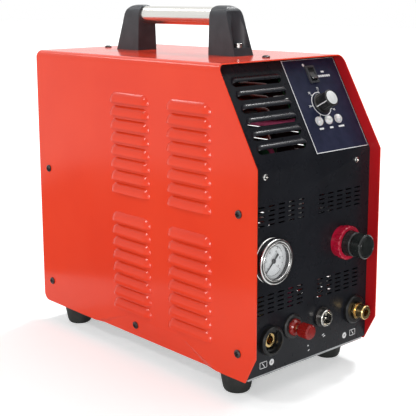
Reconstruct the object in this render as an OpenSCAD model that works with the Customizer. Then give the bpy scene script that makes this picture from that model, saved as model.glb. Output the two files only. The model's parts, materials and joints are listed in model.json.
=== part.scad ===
// Portable plasma cutting unit with a built-in compressor: a folded sheet case on four rubber feet,
// a sloped control panel, a pressure gauge and regulator, and a row of output connectors.
// +X is right seen from the front, the front faces -Y, +Z is up, and z = 0 is the floor.
// Inside place() a point is measured from the case: y from its front edge, z from its underside.

/* [Case] */
// Width over the two side sheets
body_w = 180; // [178:1:184]
// Depth of the folded cover
body_d = 357; // [355:1:362]
// Height of the cover, without feet and handle
body_h = 300; // [299:1:302]
// Thickness of the folded steel sheet
sheet = 1.2; // [1:0.1:1.5]
// Outside radius of the cover's two top bends
bend_r = 8; // [6:1:10]
// Height at which the front edge starts to lean back
knee_h = 207.3; // [205:0.1:209]
// How far the sloped front edge leans back
slope_run = 52.6; // [51:0.1:54]
// Height of the chamfer at the front bottom corner
chamfer_h = 27.4; // [20:0.1:32]
// Depth of the chamfer at the front bottom corner
chamfer_d = 14.1; // [12:0.1:16]
// Radius of the rear bottom corner
rear_r = 9; // [4:1:14]
// How far the front panel lies behind the cover's front edge
panel_recess = 12.5; // [11:0.5:14]
// How far the rear panel lies inside the cover's rear edge
rear_recess = 6; // [5:0.5:8]

/* [Side louvres] */
// Length of one pressed louvre
louvre_len = 65; // [58:1:68]
// Height of one pressed louvre
louvre_h = 10; // [8:0.5:11]
// How far a louvre stands out of the side
louvre_out = 4.5; // [3:0.5:5.5]
// Spacing of the louvres
louvre_pitch = 13.75; // [12.5:0.05:14]
// Louvres in one bank
louvre_rows = 8; // [2:1:8]

/* [Sloped louvres] */
// Length of one louvre in the sloped panel
vent_len = 68; // [60:1:70]
// Height of the rounded slot behind it
vent_h = 10.5; // [9:0.5:11]
// How far its hood stands out
vent_out = 4; // [3:0.5:4.5]
// Louvres in the sloped panel
vent_rows = 6; // [1:1:6]

/* [Handle] */
// Free length of the tube between the two posts
grip_gap = 117; // [100:1:125]
// Length of a post's base, along the handle
post_len = 39.5; // [36:0.5:42]
// Width of a post's base
post_w = 27; // [25:0.5:30]
// Height of a post
post_h = 51; // [48:0.5:54]
// Diameter of the steel tube
tube_d = 19.6; // [18:0.1:20]
// Height of the tube's axis above the cover
tube_h = 39.6; // [37:0.1:41]

/* [Feet] */
// Height of a rubber foot
foot_h = 22.5; // [18:0.5:26]
// Diameter of a foot where it meets the case
foot_top_d = 34; // [30:0.5:36]
// Diameter of a foot at the floor
foot_low_d = 25; // [22:0.5:28]

/* [Controls] */
// Diameter of the current knob's skirt
knob_d = 22; // [20:0.5:23]
// Diameter of the current knob's grip
grip_d = 17.4; // [16:0.2:18]
// Height of the current knob
knob_h = 16; // [13:0.5:18]
// Diameter of an indicator lens
led_d = 9.6; // [8:0.1:10]
// Throw of the two rocker switches, in degrees
rocker_throw = 16; // [10:1:18]
// Outside diameter of the gauge's chromed bezel
gauge_d = 44.6; // [42:0.2:46]
// Outside diameter of the regulator's panel ring
reg_ring_d = 34.6; // [32:0.2:36]
// Diameter of the regulator's pull-to-turn cap
reg_cap_d = 24.8; // [22:0.2:26]

/* [Connectors] */
// Outside diameter of the earth socket's flange
earth_d = 29.5; // [27:0.5:31]
// Bore of the earth socket's brass insert
earth_bore_d = 9; // [8.5:0.1:9.5]
// Outside diameter of the torch socket's flange
torch_d = 30; // [28:0.5:32]
// Outside diameter of the torch fitting's nose
torch_nose_d = 14.8; // [13:0.1:15]
// Bore of the torch fitting's nose
torch_bore_d = 8; // [7:0.1:9]
// Outside diameter of the trigger socket's shell
trigger_d = 17.4; // [16:0.1:18]
// Diameter of the pilot terminal's red cap
pilot_cap_d = 14.8; // [13:0.1:16]
// Bore of the cable gland
gland_bore_d = 10; // [8:0.5:11]

/* [Hidden] */
$fn = 64;

half_w = body_w / 2;
front_reach = 20.7;              // regulator cap ahead of the cover's front edge
rear_reach = 14;                 // cable gland behind the cover's rear edge
mid_y = -(body_d + rear_reach - front_reach) / 2;
play = 0.1;                      // gap between pieces that are screwed or pushed together
run_gap = 0.07;                  // radial gap of a running fit

// Sloped front: its lean from the vertical, and the panel's knee behind the cover's
slope_deg = atan2(slope_run, body_h - knee_h);
panel_y = panel_recess;
slope_recess = panel_recess - 1;
slope_y = slope_recess * cos(slope_deg);
slope_z = knee_h - slope_recess * sin(slope_deg);
panel_knee_z = slope_z + (panel_y - slope_y) / tan(slope_deg);
panel_half_w = half_w - sheet - 0.3;
panel_low_z = 3;
panel_top_z = body_h - sheet - 0.3;
panel_top_y = panel_y + (panel_top_z - panel_knee_z) * tan(slope_deg);
rear_y = body_d - rear_recess;

// Screws of the cover: [y, z] on each side, y along the top
side_screws = [[23, 163], [23.7, 26.8], [338, 163.5], [338.6, 26.6]];
relief_screw = [181, 12.9];
top_screws = [76, 338];
screw_d = 4;
screw_hole_d = 4.4;
screw_head_d = 8;
screw_head_h = 2.2;
flange_len = 22;                 // side returns of the front and rear panels

// Pressed relief along the bottom of each side: its depth, height and ends
relief_in = 3;
relief_h = 21.3;
relief_low = [54, 253.5];
relief_deep = [70, 240];
relief_top = [107, 193];

// Louvre banks: the top edge of the upper louvre of each bank, and each column's middle
bank_tops = [262.5, 134.2];
column_mids = [92.5, 184.5];
press_t = 1;                     // sheet thickness left in a pressed hood
vent_x = -35;
vent_top = 96.5;
vent_pitch = 13.9;
vent_lip = 1.25;                 // how far the hood reaches below the slot's middle

// Perforated fields of the front panel: [left x, lowest z]
slot_len = 9;
slot_w = 1.6;
slot_step = [13.75, 4.45];
slot_count = 5;
slot_fields = [[-75, 149], [10, 149], [-75, 62.5], [10, 62.5]];

// Places on the front panel, [x, z]
gauge_at = [-58, 115];
reg_at = [45.5, 115];
earth_at = [-57.7, 35.2];
pilot_at = [-26.9, 42];
trigger_at = [16.8, 41.5];
torch_at = [67, 38];
panel_screw_x = 66.5;
panel_screw_z = 196.3;

// Places on the slope, [x, distance up the slope from the cover's knee]
overlay_low = [7.5, 8];
overlay_high = [87, 109];
overlay_t = 0.3;
switch_at = [44.3, 91.5];
knob_at = [41.7, 58.9];
led_at = [[28, 41], [42.4, 41], [57, 41]];
led_hole_d = 8.2;
switch_hole = [11.4, 17.2];
pot_hole_d = 9.8;
knob_pointer = 196;              // direction of the knob's pointer at rest
pot_shaft_d = 6;

// Handle
handle_y = 205;
tube_grip = 14;                  // length of tube held in each post
tube_wall = 1.5;
post_taper = 1.5;                // how much a post narrows on each side
ledge_h = 8;                     // height of the screw ledge in a post
post_lean = 18.5;                // how far a post's outer face leans from the vertical
post_crown = 12;                 // radius over a post's top
scoop_r = 11.3;                  // hollow down a post's outer face, and how its axis leans
scoop_lean = 2.5;
scoop_u = 26 + scoop_r;
post_screw_u = post_len - 8.6;   // screw's distance from the post's inner face

post_screw_d = 5;
post_screw_hole_d = 5.4;

// Feet, [x, y]
foot_x = 68;
foot_y = [47, 316];
foot_screw_d = 5;

// Base tray inside the cover's two reliefs
tray_t = 1.5;
tray_half_w = half_w - relief_in - sheet - 0.4;
tray_front = 14;
tray_rear = rear_y - sheet - 0.3;
tray_lip = 30;

// Rear panel, [x, z]
fan_at = [0, 216];
fan_size = 119;
fan_depth = 38;
fan_bore = 113;
fan_hole_step = 105;
mains_at = [45, 108];
gland_at = [-45, 62];

// Inside
shelf_z = 150;
board_z = 163;
board_t = 1.6;
reg_stem_r = 9.93;
comp_x = -26;                    // compressor's axis, and its height
comp_z = 50;

// Frames of reference: +Z of each is the outward normal of the face it sits on

module place() { translate([0, mid_y, foot_h]) children(); }

module on_front(at) { translate([at[0], panel_y, at[1]]) rotate([90, 0, 0]) children(); }

module on_slope(at) {
    translate([0, slope_y, slope_z])
        rotate([90 - slope_deg, 0, 0])
            translate([at[0], at[1], 0])
                children();
}

module on_rear(at) { translate([at[0], rear_y, at[1]]) rotate([90, 0, 180]) children(); }

module on_side(at) { translate([half_w, at[0], at[1]]) rotate([90, 0, 90]) children(); }

module both_sides() {
    children();
    mirror([1, 0, 0]) children();
}

module disc(d, low, high) { translate([0, 0, low]) cylinder(d = d, h = high - low); }

module ring(d_out, d_in, low, high) {
    difference() {
        disc(d_out, low, high);
        disc(d_in, low - 1, high + 1);
    }
}

module hex(across, low, high) {
    translate([0, 0, low]) cylinder(d = across / cos(30), h = high - low, $fn = 6);
}

module slab(size, low, high) {
    translate([-size[0] / 2, -size[1] / 2, low]) cube([size[0], size[1], high - low]);
}

// A flat stadium, with its length along X
module stadium(len, wid) {
    square([len - wid, wid], center = true);
    for (side = [-1, 1]) translate([side * (len - wid) / 2, 0]) circle(d = wid);
}

// Pan-head screw: seat at z = 0, head above it, shank below
module pan_screw(shank_d, head_d, head_h, len) {
    difference() {
        union() {
            disc(head_d, 0, head_h * 0.55);
            translate([0, 0, head_h * 0.55])
                cylinder(d1 = head_d, d2 = head_d * 0.62, h = head_h * 0.45);
            disc(shank_d, -len, 0);
        }
        for (turn = [0, 90])
            rotate([0, 0, turn]) slab([head_d * 0.6, head_d * 0.14], head_h * 0.4, head_h + 1);
    }
}

// Cover

// Section of the folded sheet, inset from its outside
module cover_section(inset) {
    w = half_w - inset;
    h = body_h - inset;
    r = bend_r - inset;
    drop = inset > 0 ? 1 : 0;
    translate([-w, -drop]) square([2 * w, h - r + drop]);
    translate([r - w, 0]) square([2 * (w - r), h]);
    for (side = [-1, 1]) translate([side * (w - r), h - r]) circle(r);
}

// Takes the sharp corner off a side outline, at the origin, with the sheet at -X and +Y
module corner_cut(r) {
    difference() {
        translate([-r, -1]) square([r + 1, r + 1]);
        translate([-r, r]) circle(r);
    }
}

// Outline of a side sheet, [y, z]
module side_outline() {
    difference() {
        polygon([
            [0, chamfer_h], [0, knee_h], [slope_run, body_h],
            [body_d, body_h], [body_d, 0], [chamfer_d, 0]
        ]);
        translate([body_d, 0]) corner_cut(rear_r);
    }
}

// Radius of the arc that rises by `out` over a half height of `half`
function press_r(half, out) = (half * half + out * out) / (2 * out);

// Half section of a pressed hood: X runs from its lip line to its far edge, Y out of the sheet
module hood_section(half, out, lip) {
    r = press_r(half, out);
    intersection() {
        translate([0, out - r]) difference() {
            circle(r);
            circle(r - press_t);
        }
        translate([-lip, -sheet]) square([half + lip + 2, out + sheet + 1]);
    }
}

// Round ends of a hood, swept from its far edge by `sweep` degrees
module hood_ends(len, half, out, sweep) {
    straight = len - 2 * half;
    translate([straight / 2, 0, 0])
        rotate([0, 0, 90 - sweep]) rotate_extrude(angle = sweep) hood_section(half, out, 0);
    translate([-straight / 2, 0, 0])
        rotate([0, 0, 90]) rotate_extrude(angle = sweep) hood_section(half, out, 0);
}

// Pressed hood: X along it, Y up the sheet, Z out, with closed round ends and an open lower lip
module hood(len, half, out, lip) {
    straight = len - 2 * half;
    translate([-straight / 2, 0, 0])
        rotate([90, 0, 90]) linear_extrude(straight) hood_section(half, out, lip);
    if (lip == 0) hood_ends(len, half, out, 90);
    if (lip > 0) intersection() {
        hood_ends(len, half, out, 180);
        translate([-len, -lip, -sheet]) cube([2 * len, 2 * half + lip, out + sheet + 1]);
    }
}

// Hole in the sheet behind a hood
function hood_cut(half, out) =
    let (r = press_r(half, out), back = r - out - sheet)
    sqrt((r - press_t) * (r - press_t) - back * back);

module louvre_slots() {
    cut = hood_cut(louvre_h, louvre_out);
    intersection() {
        stadium(louvre_len - 2 * (louvre_h - cut), 2 * cut);
        translate([-louvre_len / 2, 0]) square([louvre_len, louvre_h]);
    }
}

module at_louvres() {
    for (top = bank_tops, mid = column_mids, row = [0 : louvre_rows - 1])
        translate([mid, top - louvre_h - row * louvre_pitch, 0]) children();
}

// Wedge pressed out of the bottom of the left side sheet, moved inwards by `shift`
module relief_wedge(shift) {
    outer = -half_w + shift;
    deep = outer + relief_in;
    polyhedron(
        points = [
            [outer, relief_low[0], 0], [outer, relief_low[1], 0],
            [outer, relief_top[1], relief_h], [outer, relief_top[0], relief_h],
            [deep, relief_deep[0], 0], [deep, relief_deep[1], 0]
        ],
        faces = [[1, 2, 3, 0], [3, 2, 5, 4], [0, 3, 4], [5, 2, 1], [4, 5, 1, 0]]
    );
}

module side_screw_holes() {
    for (at = side_screws) on_side(at) disc(screw_hole_d, -10, 10);
    on_side(relief_screw) disc(screw_hole_d + 1, -10, 10);
}

module cover_sheet() {
    intersection() {
        translate([0, body_d, 0]) rotate([90, 0, 0]) linear_extrude(body_d) difference() {
            cover_section(0);
            cover_section(sheet);
        }
        translate([-half_w - 1, 0, 0]) rotate([90, 0, 90]) linear_extrude(body_w + 2) side_outline();
    }
    both_sides() relief_wedge(sheet);
}

module cover() {
    color("orangered") place() {
        difference() {
            cover_sheet();
            both_sides() {
                relief_wedge(0);
                side_screw_holes();
                translate([half_w - sheet - 1, 0, 0]) rotate([90, 0, 90])
                    linear_extrude(sheet + 2) at_louvres() louvre_slots();
            }
            for (y = top_screws) translate([0, y, body_h]) disc(screw_hole_d, -10, 10);
            at_posts() translate([post_screw_u, 0, 0]) disc(post_screw_hole_d, -10, 1);
        }
        both_sides() on_side([0, 0]) at_louvres() hood(louvre_len, louvre_h, louvre_out, 0);
    }
}

// Base, shelf and panels

module base_tray() {
    t = tray_t;
    color("dimgray") place() difference() {
        union() {
            difference() {
                translate([-tray_half_w, tray_front, 0])
                    cube([2 * tray_half_w, tray_rear - tray_front, tray_lip]);
                translate([t - tray_half_w, tray_front + t, t])
                    cube([2 * (tray_half_w - t), tray_rear - tray_front - 2 * t, tray_lip]);
            }
            both_sides() on_side(relief_screw) disc(9, tray_half_w - half_w - 0.1, -3.2);
        }
        both_sides() on_side(relief_screw) disc(screw_d + 2, -12, 1);
        for (i = [1, 3]) both_sides() on_side(side_screws[i]) disc(screw_d + 2 * play, -12, 1);
        for (side = [-1, 1], y = foot_y) translate([side * foot_x, y, 0]) disc(foot_screw_d + play, -1, 3);
        for (y = [70, 95, 270, 295]) translate([0, y, -1]) linear_extrude(4) stadium(90, 5);
        // the front lip is low, to clear the nuts of the output sockets
        translate([-tray_half_w + 2 * t, tray_front - 1, 12]) cube([2 * tray_half_w - 4 * t, 4, tray_lip]);
    }
}

// Strip of sheet behind the front panel's outer face, [y, z]
module front_strip(t) {
    mitre = t * tan(slope_deg / 2);
    lean = t / cos(slope_deg);
    polygon([
        [panel_y, panel_low_z], [panel_y, panel_knee_z], [panel_top_y, panel_top_z],
        [panel_top_y + lean, panel_top_z], [panel_y + t, panel_knee_z - mitre], [panel_y + t, panel_low_z]
    ]);
}

module across(half, outline_t) {
    translate([-half, 0, 0]) rotate([90, 0, 90]) linear_extrude(2 * half) front_strip(outline_t);
}

module slot_field() {
    for (col = [0 : slot_count - 1], row = [0 : slot_count - 1])
        translate([col * slot_step[0] + slot_len / 2, row * slot_step[1] + slot_w / 2])
            stadium(slot_len, slot_w);
}

module front_cuts() {
    on_front([0, 0]) translate([0, 0, -sheet - 1]) linear_extrude(sheet + 2) {
        for (at = slot_fields) translate(at) slot_field();
        translate(gauge_at) circle(d = 40);
        translate(reg_at) circle(d = 30);
        translate(earth_at) circle(d = 22);
        translate(pilot_at) circle(d = 10);
        translate(trigger_at) circle(d = 16);
        translate(torch_at) circle(d = 20);
        for (side = [-1, 1]) translate([side * panel_screw_x, panel_screw_z]) circle(d = 3.4);
    }
}

module at_vents() {
    for (row = [0 : vent_rows - 1])
        translate([vent_x, vent_top - vent_h / 2 - row * vent_pitch, 0]) children();
}

module slope_cuts() {
    on_slope([0, 0]) translate([0, 0, -sheet - 1]) linear_extrude(sheet + 2) {
        at_vents() stadium(vent_len - 0.6, vent_h - 0.6);
        translate(switch_at) square(switch_hole, center = true);
        translate(knob_at) circle(d = pot_hole_d);
        for (at = led_at) translate(at) circle(d = led_hole_d);
    }
}

// What fits inside the folded cover, along its whole depth
module inside_cover() {
    translate([0, body_d, 0]) rotate([90, 0, 0]) linear_extrude(body_d) cover_section(sheet + 0.3);
}

module front_panel() {
    color("#25292c") place() {
        difference() {
            union() {
                intersection() {
                    across(panel_half_w, sheet);
                    inside_cover();
                }
                both_sides() intersection() {
                    across(panel_half_w, flange_len);
                    translate([panel_half_w - sheet, 0, 0]) cube([sheet, body_d, body_h - bend_r]);
                }
                translate([bend_r + 1 - half_w, panel_top_y, panel_top_z - sheet])
                    cube([body_w - 2 * bend_r - 2, flange_len, sheet]);
            }
            front_cuts();
            slope_cuts();
            for (side = [-1, 1], i = [0, 1])
                translate([side * (half_w + 1), side_screws[i][0], side_screws[i][1]])
                    rotate([0, 90, 0]) cylinder(d = screw_d + play, h = 10, center = true);
            translate([0, top_screws[0], body_h]) disc(screw_d + play, -5, 0);
        }
        on_slope([0, 0]) at_vents() hood(vent_len, vent_h / 2, vent_out, vent_lip);
    }
}

module rear_panel() {
    color("#25292c") place() difference() {
        union() {
            translate([0, rear_y, 0]) rotate([90, 0, 0]) linear_extrude(sheet) difference() {
                cover_section(sheet + 0.3);
                translate([-half_w, -2]) square([body_w, panel_low_z + 2]);
            }
            both_sides() translate([panel_half_w - sheet, rear_y - flange_len, panel_low_z + 6])
                cube([sheet, flange_len, panel_top_z - panel_low_z - bend_r - 6]);
            translate([-40, rear_y - flange_len, panel_top_z - sheet]) cube([80, flange_len, sheet]);
        }
        on_rear(fan_at) {
            disc(fan_bore, -2, 1);
            at_fan_holes() disc(4.4, -2, 1);
        }
        on_rear(mains_at) slab([27, 20], -2, 1);
        on_rear(gland_at) disc(16.2, -2, 1);
        for (side = [-1, 1], i = [2, 3])
            translate([side * (half_w + 1), side_screws[i][0], side_screws[i][1]])
                rotate([0, 90, 0]) cylinder(d = screw_d + play, h = 10, center = true);
        translate([0, top_screws[1], body_h]) disc(screw_d + play, -5, 0);
    }
}

module shelf_plate() {
    w = 85;
    y0 = 60;
    y1 = 300;
    color("silver") place() difference() {
        union() {
            translate([-w, y0, shelf_z]) cube([2 * w, y1 - y0, sheet]);
            both_sides() translate([w - sheet, y0, shelf_z - 14]) cube([sheet, y1 - y0, 14]);
        }
        for (y = [80, 255]) translate([50, y, shelf_z]) disc(18, -1, 3);
        for (side = [-1, 1], y = [100, 260]) translate([side * 62, y, shelf_z]) disc(3.2, -1, 3);
    }
}

module control_overlay() {
    color("#252734") place() on_slope([0, 0]) linear_extrude(overlay_t) difference() {
        translate(overlay_low) square(overlay_high - overlay_low);
        translate(switch_at) square(switch_hole, center = true);
        translate(knob_at) circle(d = pot_hole_d);
        for (at = led_at) translate(at) circle(d = led_hole_d);
    }
}

// Handle

// Both posts, each with +X towards its outer end and its inner face at x = 0
module at_posts() {
    translate([0, handle_y - grip_gap / 2, body_h]) rotate([0, 0, -90]) children();
    translate([0, handle_y + grip_gap / 2, body_h]) rotate([0, 0, 90]) children();
}

// Side view of a post: upright inner face, rounded top, outer face leaning in
module post_side() {
    crown_z = post_h - post_crown;
    crown_u = post_len - crown_z * tan(post_lean) - post_crown / cos(post_lean) + 0.3;
    top_u = post_len - (post_h + 2) * tan(post_lean);
    intersection() {
        polygon([[0, 0], [post_len, 0], [top_u, post_h + 2], [0, post_h + 2]]);
        union() {
            translate([0, -1]) square([post_len, crown_z + 3.5]);
            square([crown_u, post_h]);
            translate([crown_u, crown_z]) circle(post_crown);
        }
        union() {
            translate([4, 0]) square([post_len, post_h]);
            translate([0, 0]) square([post_len, post_h - 4]);
            translate([4, post_h - 4]) circle(4);
        }
    }
}

// End view of a post: sides that lean in a little, under a round crown about the tube
module post_end() {
    top_half = post_w / 2 - post_taper;
    union() {
        polygon([
            [-post_w / 2, 0], [post_w / 2, 0],
            [top_half, post_h - top_half], [-top_half, post_h - top_half]
        ]);
        translate([0, post_h - top_half]) circle(top_half);
    }
}

module handle_post() {
    difference() {
        intersection() {
            translate([0, post_w, 0]) rotate([90, 0, 0]) linear_extrude(2 * post_w) post_side();
            rotate([90, 0, 90]) linear_extrude(post_len) post_end();
        }
        translate([-1, 0, tube_h]) rotate([0, 90, 0]) cylinder(d = tube_d + play, h = tube_grip + 1 + play);
        // hollow down the outer face, and the screw's pocket at its foot
        intersection() {
            translate([scoop_u, 0, ledge_h]) rotate([0, -scoop_lean, 0])
                translate([0, 0, -5]) cylinder(r = scoop_r, h = post_h + 10);
            translate([0, -post_w, ledge_h]) cube([2 * post_len, 2 * post_w, post_h]);
        }
        translate([post_screw_u, 0, -1]) cylinder(d = post_screw_hole_d, h = ledge_h + 2);
        // core-out under the post, open to the cover
        translate([4, -post_w / 2 + 4, -1]) cube([post_len - 22, post_w - 8, 16]);
    }
}

module handle_post_front() {
    color("#4b464a") place() translate([0, handle_y - grip_gap / 2, body_h]) rotate([0, 0, -90]) handle_post();
}

module handle_post_rear() {
    color("#4b464a") place() translate([0, handle_y + grip_gap / 2, body_h]) rotate([0, 0, 90]) handle_post();
}

module handle_tube() {
    len = grip_gap + 2 * tube_grip;
    color("gainsboro") place() translate([0, handle_y, body_h + tube_h]) rotate([90, 0, 0])
        ring(tube_d, tube_d - 2 * tube_wall, -len / 2, len / 2);
}

module handle_screws() {
    color("silver") place() at_posts() translate([post_screw_u, 0, ledge_h]) difference() {
        union() {
            disc(8.5, 0, 4.6);
            disc(post_screw_d, -ledge_h - 8, 0);
            ring(10, post_screw_d, -ledge_h - sheet - 4, -ledge_h - sheet);
        }
        hex(4, 2, 6);
    }
}

// Feet

module foot(side, y) {
    edge = 4;
    low_r = foot_low_d / 2;
    color("#30302f") place() translate([side * foot_x, y, -foot_h]) difference() {
        rotate_extrude() difference() {
            polygon([
                [0, 0], [low_r, 0], [low_r + 1.6, edge], [foot_top_d / 2, foot_h - 3],
                [foot_top_d / 2, foot_h], [0, foot_h]
            ]);
            difference() {
                translate([low_r - 1.2, -1]) square([4, 2.2]);
                translate([low_r - 1.2, 1.2]) circle(1.2);
            }
        }
        disc(12, -1, 9);
        disc(foot_screw_d + play, 8, foot_h + 1);
    }
}

module foot_front_left() { foot(-1, foot_y[0]); }
module foot_front_right() { foot(1, foot_y[0]); }
module foot_rear_left() { foot(-1, foot_y[1]); }
module foot_rear_right() { foot(1, foot_y[1]); }

module foot_screws() {
    color("silver") place() for (side = [-1, 1], y = foot_y)
        translate([side * foot_x, y, 0]) {
            translate([0, 0, 9 - foot_h]) rotate([180, 0, 0]) pan_screw(foot_screw_d, 9, 3.5, foot_h - 3);
            translate([0, 0, 1.5]) difference() {
                hex(8, 0, 4);
                disc(foot_screw_d, -1, 5);
            }
        }
}

// Screws

module cover_screws() {
    color("#222") place() {
        both_sides() {
            for (at = side_screws) on_side(at) pan_screw(screw_d, screw_head_d, screw_head_h, 8);
            on_side(relief_screw) translate([0, 0, relief_in * (relief_screw[1] / relief_h - 1)])
                rotate([atan2(relief_in, relief_h), 0, 0])
                    pan_screw(screw_d - 0.6, screw_head_d, screw_head_h, 7);
        }
        for (y = top_screws) translate([0, y, body_h]) pan_screw(screw_d, screw_head_d, screw_head_h, 8);
    }
}

module panel_screws() {
    color("silver") place() for (side = [-1, 1])
        on_front([side * panel_screw_x, panel_screw_z]) pan_screw(3, 6, 1.8, 8);
}

// Rocker switches

// Rocker seen along its axis: two faces meeting in a shallow valley over a round belly
module rocker_section(len, rise, depth) {
    polygon([[-len / 2, -1], [len / 2, -1], [len / 2, rise], [0, rise - 0.16 * len], [-len / 2, rise]]);
    intersection() {
        translate([0, -1]) circle(len / 2 - 1);
        translate([-len / 2, -depth]) square([len, depth]);
    }
}

module rocker(wid, len, rise, depth) {
    translate([-wid / 2, 0, 0]) rotate([90, 0, 90]) linear_extrude(wid) rocker_section(len, rise, depth);
    translate([-wid / 2 - 0.9, 0, 0]) rotate([0, 90, 0]) cylinder(d = 2, h = wid + 1.8);
}

// Frame of a rocker switch: rim on the panel and a box behind it
module switch_frame(rim, box, open, rim_h, depth) {
    difference() {
        union() {
            slab(rim, 0, rim_h);
            slab(box, -depth, 0);
        }
        slab(open, -depth + 3, rim_h + 1);
        rotate([0, 90, 0]) cylinder(d = 2 + 2 * run_gap, h = open[0] + 2.2, center = true);
    }
    for (side = [-1, 1]) translate([side * open[0] * 0.28, 0, -depth]) slab([0.8, 5], -7, 0);
}

module air_switch_bezel() {
    color("gray") place() on_slope(switch_at) translate([0, 0, overlay_t])
        switch_frame([13, 19], [11, 16.8], [9, 15], 1.8, 15);
}

module air_switch_rocker() {
    color("#111") place() on_slope(switch_at) translate([0, 0, overlay_t])
        rotate([-rocker_throw / 2, 0, 0]) rocker(8.4, 13.2, 3.4, 5.5);
}

module mains_switch_body() {
    color("#111") place() on_rear(mains_at) switch_frame([31, 25], [26.6, 19.6], [21, 16.6], 2, 24);
}

module mains_switch_rocker() {
    color("#151515") place() on_rear(mains_at)
        rotate([rocker_throw / 2, 0, 0]) rocker(20.2, 14.4, 4.4, 6);
}

// Current setting

module current_pot() {
    color("steelblue") place() on_slope(knob_at) difference() {
        union() {
            disc(9.4, -4, 5);
            disc(17, -13, -sheet - play);
            ring(13, 9.4, overlay_t + play, 2.4);
            for (x = [-5, 0, 5]) translate([x, -9, 0]) slab([1.4, 8], -10, -9.4);
        }
        disc(pot_shaft_d + 2 * run_gap, -11, 6);
    }
}

module current_shaft() {
    color("silver") place() on_slope(knob_at) disc(pot_shaft_d, -10.5, 10);
}

module current_knob() {
    flutes = 16;
    chamfer = 0.8;
    color("#141414") place() on_slope(knob_at) difference() {
        union() {
            disc(knob_d, 0.8, 1.8);
            translate([0, 0, 1.8]) cylinder(d1 = knob_d, d2 = knob_d - 1.6, h = chamfer);
            disc(grip_d, 2, knob_h - chamfer);
            translate([0, 0, knob_h - chamfer])
                cylinder(d1 = grip_d, d2 = grip_d - 2 * chamfer, h = chamfer);
        }
        disc(14, 0, 6);
        disc(pot_shaft_d, 0, 10);
        for (i = [0.5 : flutes - 0.5]) rotate([0, 0, knob_pointer + i * 360 / flutes])
            translate([grip_d / 2 + 0.4, 0, 3.8]) cylinder(d = 1.8, h = knob_h - 5.4);
        disc(grip_d - 2.8, knob_h - 0.4, knob_h + 1);
    }
    // pointer rib up the grip
    color("#141414") place() on_slope(knob_at) rotate([0, 0, knob_pointer])
        translate([grip_d / 2 - 0.5, -0.45, 2.2]) cube([0.9, 0.9, knob_h - 3.4]);
}

module led(at) {
    color("#e9e6e2") place() on_slope(at) translate([0, 0, overlay_t]) {
        disc(led_d, 0, 1.2);
        disc(led_hole_d - 2 * play, -7, 0);
        intersection() {
            translate([0, 0, 1.2 - 2.6]) sphere(d = led_d + 1.6);
            disc(led_d - 1.2, 1.2, 5);
        }
    }
}

module led_left() { led(led_at[0]); }
module led_middle() { led(led_at[1]); }
module led_right() { led(led_at[2]); }

module control_board() {
    color("darkgreen") place() on_slope([0, 0]) difference() {
        union() {
            translate([16, 16, -19]) cube([62, 90, board_t]);
            for (x = [20, 74], y = [20, 96]) translate([x, y, 0]) disc(5, -17.4, -sheet - 0.02);
            for (i = [0 : 2]) translate([24 + 14 * i, 22, -17.4]) cube([9, 6, 4]);
        }
        translate([knob_at[0], knob_at[1], 0]) disc(19, -20, -16);
        translate([switch_at[0], switch_at[1], 0]) slab([12, 18], -20, -16);
    }
}

// Pressure gauge

module gauge_case() {
    color("#2a2a2c") place() on_front(gauge_at) difference() {
        union() {
            disc(39.2, -24, 6.2);
            hex(14, -30, -24);
            disc(9.7, -40, -30);
        }
        disc(34.6, -1.4, 7);
        disc(36.6, 2.6, 7);
        disc(1.2 + 2 * run_gap, -8, 0);
        disc(4, -41, -22);
    }
}

module gauge_flange() {
    color("#d8d8d8") place() on_front(gauge_at) rotate_extrude() intersection() {
        translate([19.8, 0]) square([3.6, 1.6]);
        union() {
            translate([19.8, 0]) square([1.3, 1.6]);
            translate([21.1, 0.4]) circle(1.2);
        }
    }
}

module gauge_bezel() {
    r_out = gauge_d / 2;
    color("#e2e2e2") place() on_front(gauge_at) rotate_extrude() difference() {
        union() {
            translate([19.7, 3.6]) square([r_out - 19.7, 3.8]);
            translate([17.2, 7.9]) square([3.4, 0.7]);
            translate([20.4, 7.2]) circle(1.9);
            translate([17.9, 8.3]) circle(0.8);
        }
        translate([16, 4]) square([3.7, 3.9]);
    }
}

module gauge_dial() {
    color("#f2f4f4") place() on_front(gauge_at) ring(36.2, 2.4, 2.6, 3.1);
}

module gauge_lens() {
    color([0.9, 0.95, 1, 0.3]) place() on_front(gauge_at) disc(39, 6.3, 7.8);
}

module gauge_needle() {
    color("#111") place() on_front(gauge_at) {
        disc(1.2, -7, 3.6);
        disc(4.6, 3.6, 5);
        disc(2, 5, 5.6);
        rotate([0, 0, 225]) translate([0, 0, 4]) linear_extrude(0.6) {
            polygon([[0, -0.9], [15, -0.25], [15, 0.25], [0, 0.9]]);
            polygon([[0, -0.8], [-8.5, -1.3], [-8.5, 1.3], [0, 0.8]]);
        }
    }
}

// Pressure regulator

module regulator_body() {
    color("#9aa0a4") place() on_front(reg_at) difference() {
        union() {
            disc(29.2, -14, 9.6);
            slab([42, 42], -48, -14);
            disc(30, -62, -48);
            rotate([0, 90, 0]) translate([31, 0, 0]) disc(18, -28, 28);
        }
        disc(2 * reg_stem_r + 0.6, -12, 11);
        rotate([0, 90, 0]) translate([31, 0, 0]) disc(8.6, 16, 30);
        rotate([0, 90, 0]) translate([31, 0, 0]) disc(8.6, -30, -16);
    }
}

module regulator_ring() {
    grips = 18;
    r = reg_ring_d / 2;
    color("crimson") place() on_front(reg_at) difference() {
        rotate_extrude() polygon([
            [14.7, 0], [r - 1.2, 0], [r - 1.2, 4.6], [r - 0.4, 5], [r, 5.4], [r, 10.6], [r - 0.9, 11.5],
            [13.6, 11.5], [12.9, 10.9], [12.9, 9.7], [14.7, 9.7]
        ]);
        for (i = [0 : grips - 1]) rotate([0, 0, i * 360 / grips])
            translate([r + 1.3, 0, 4]) cylinder(r = 2, h = 9);
    }
}

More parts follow.
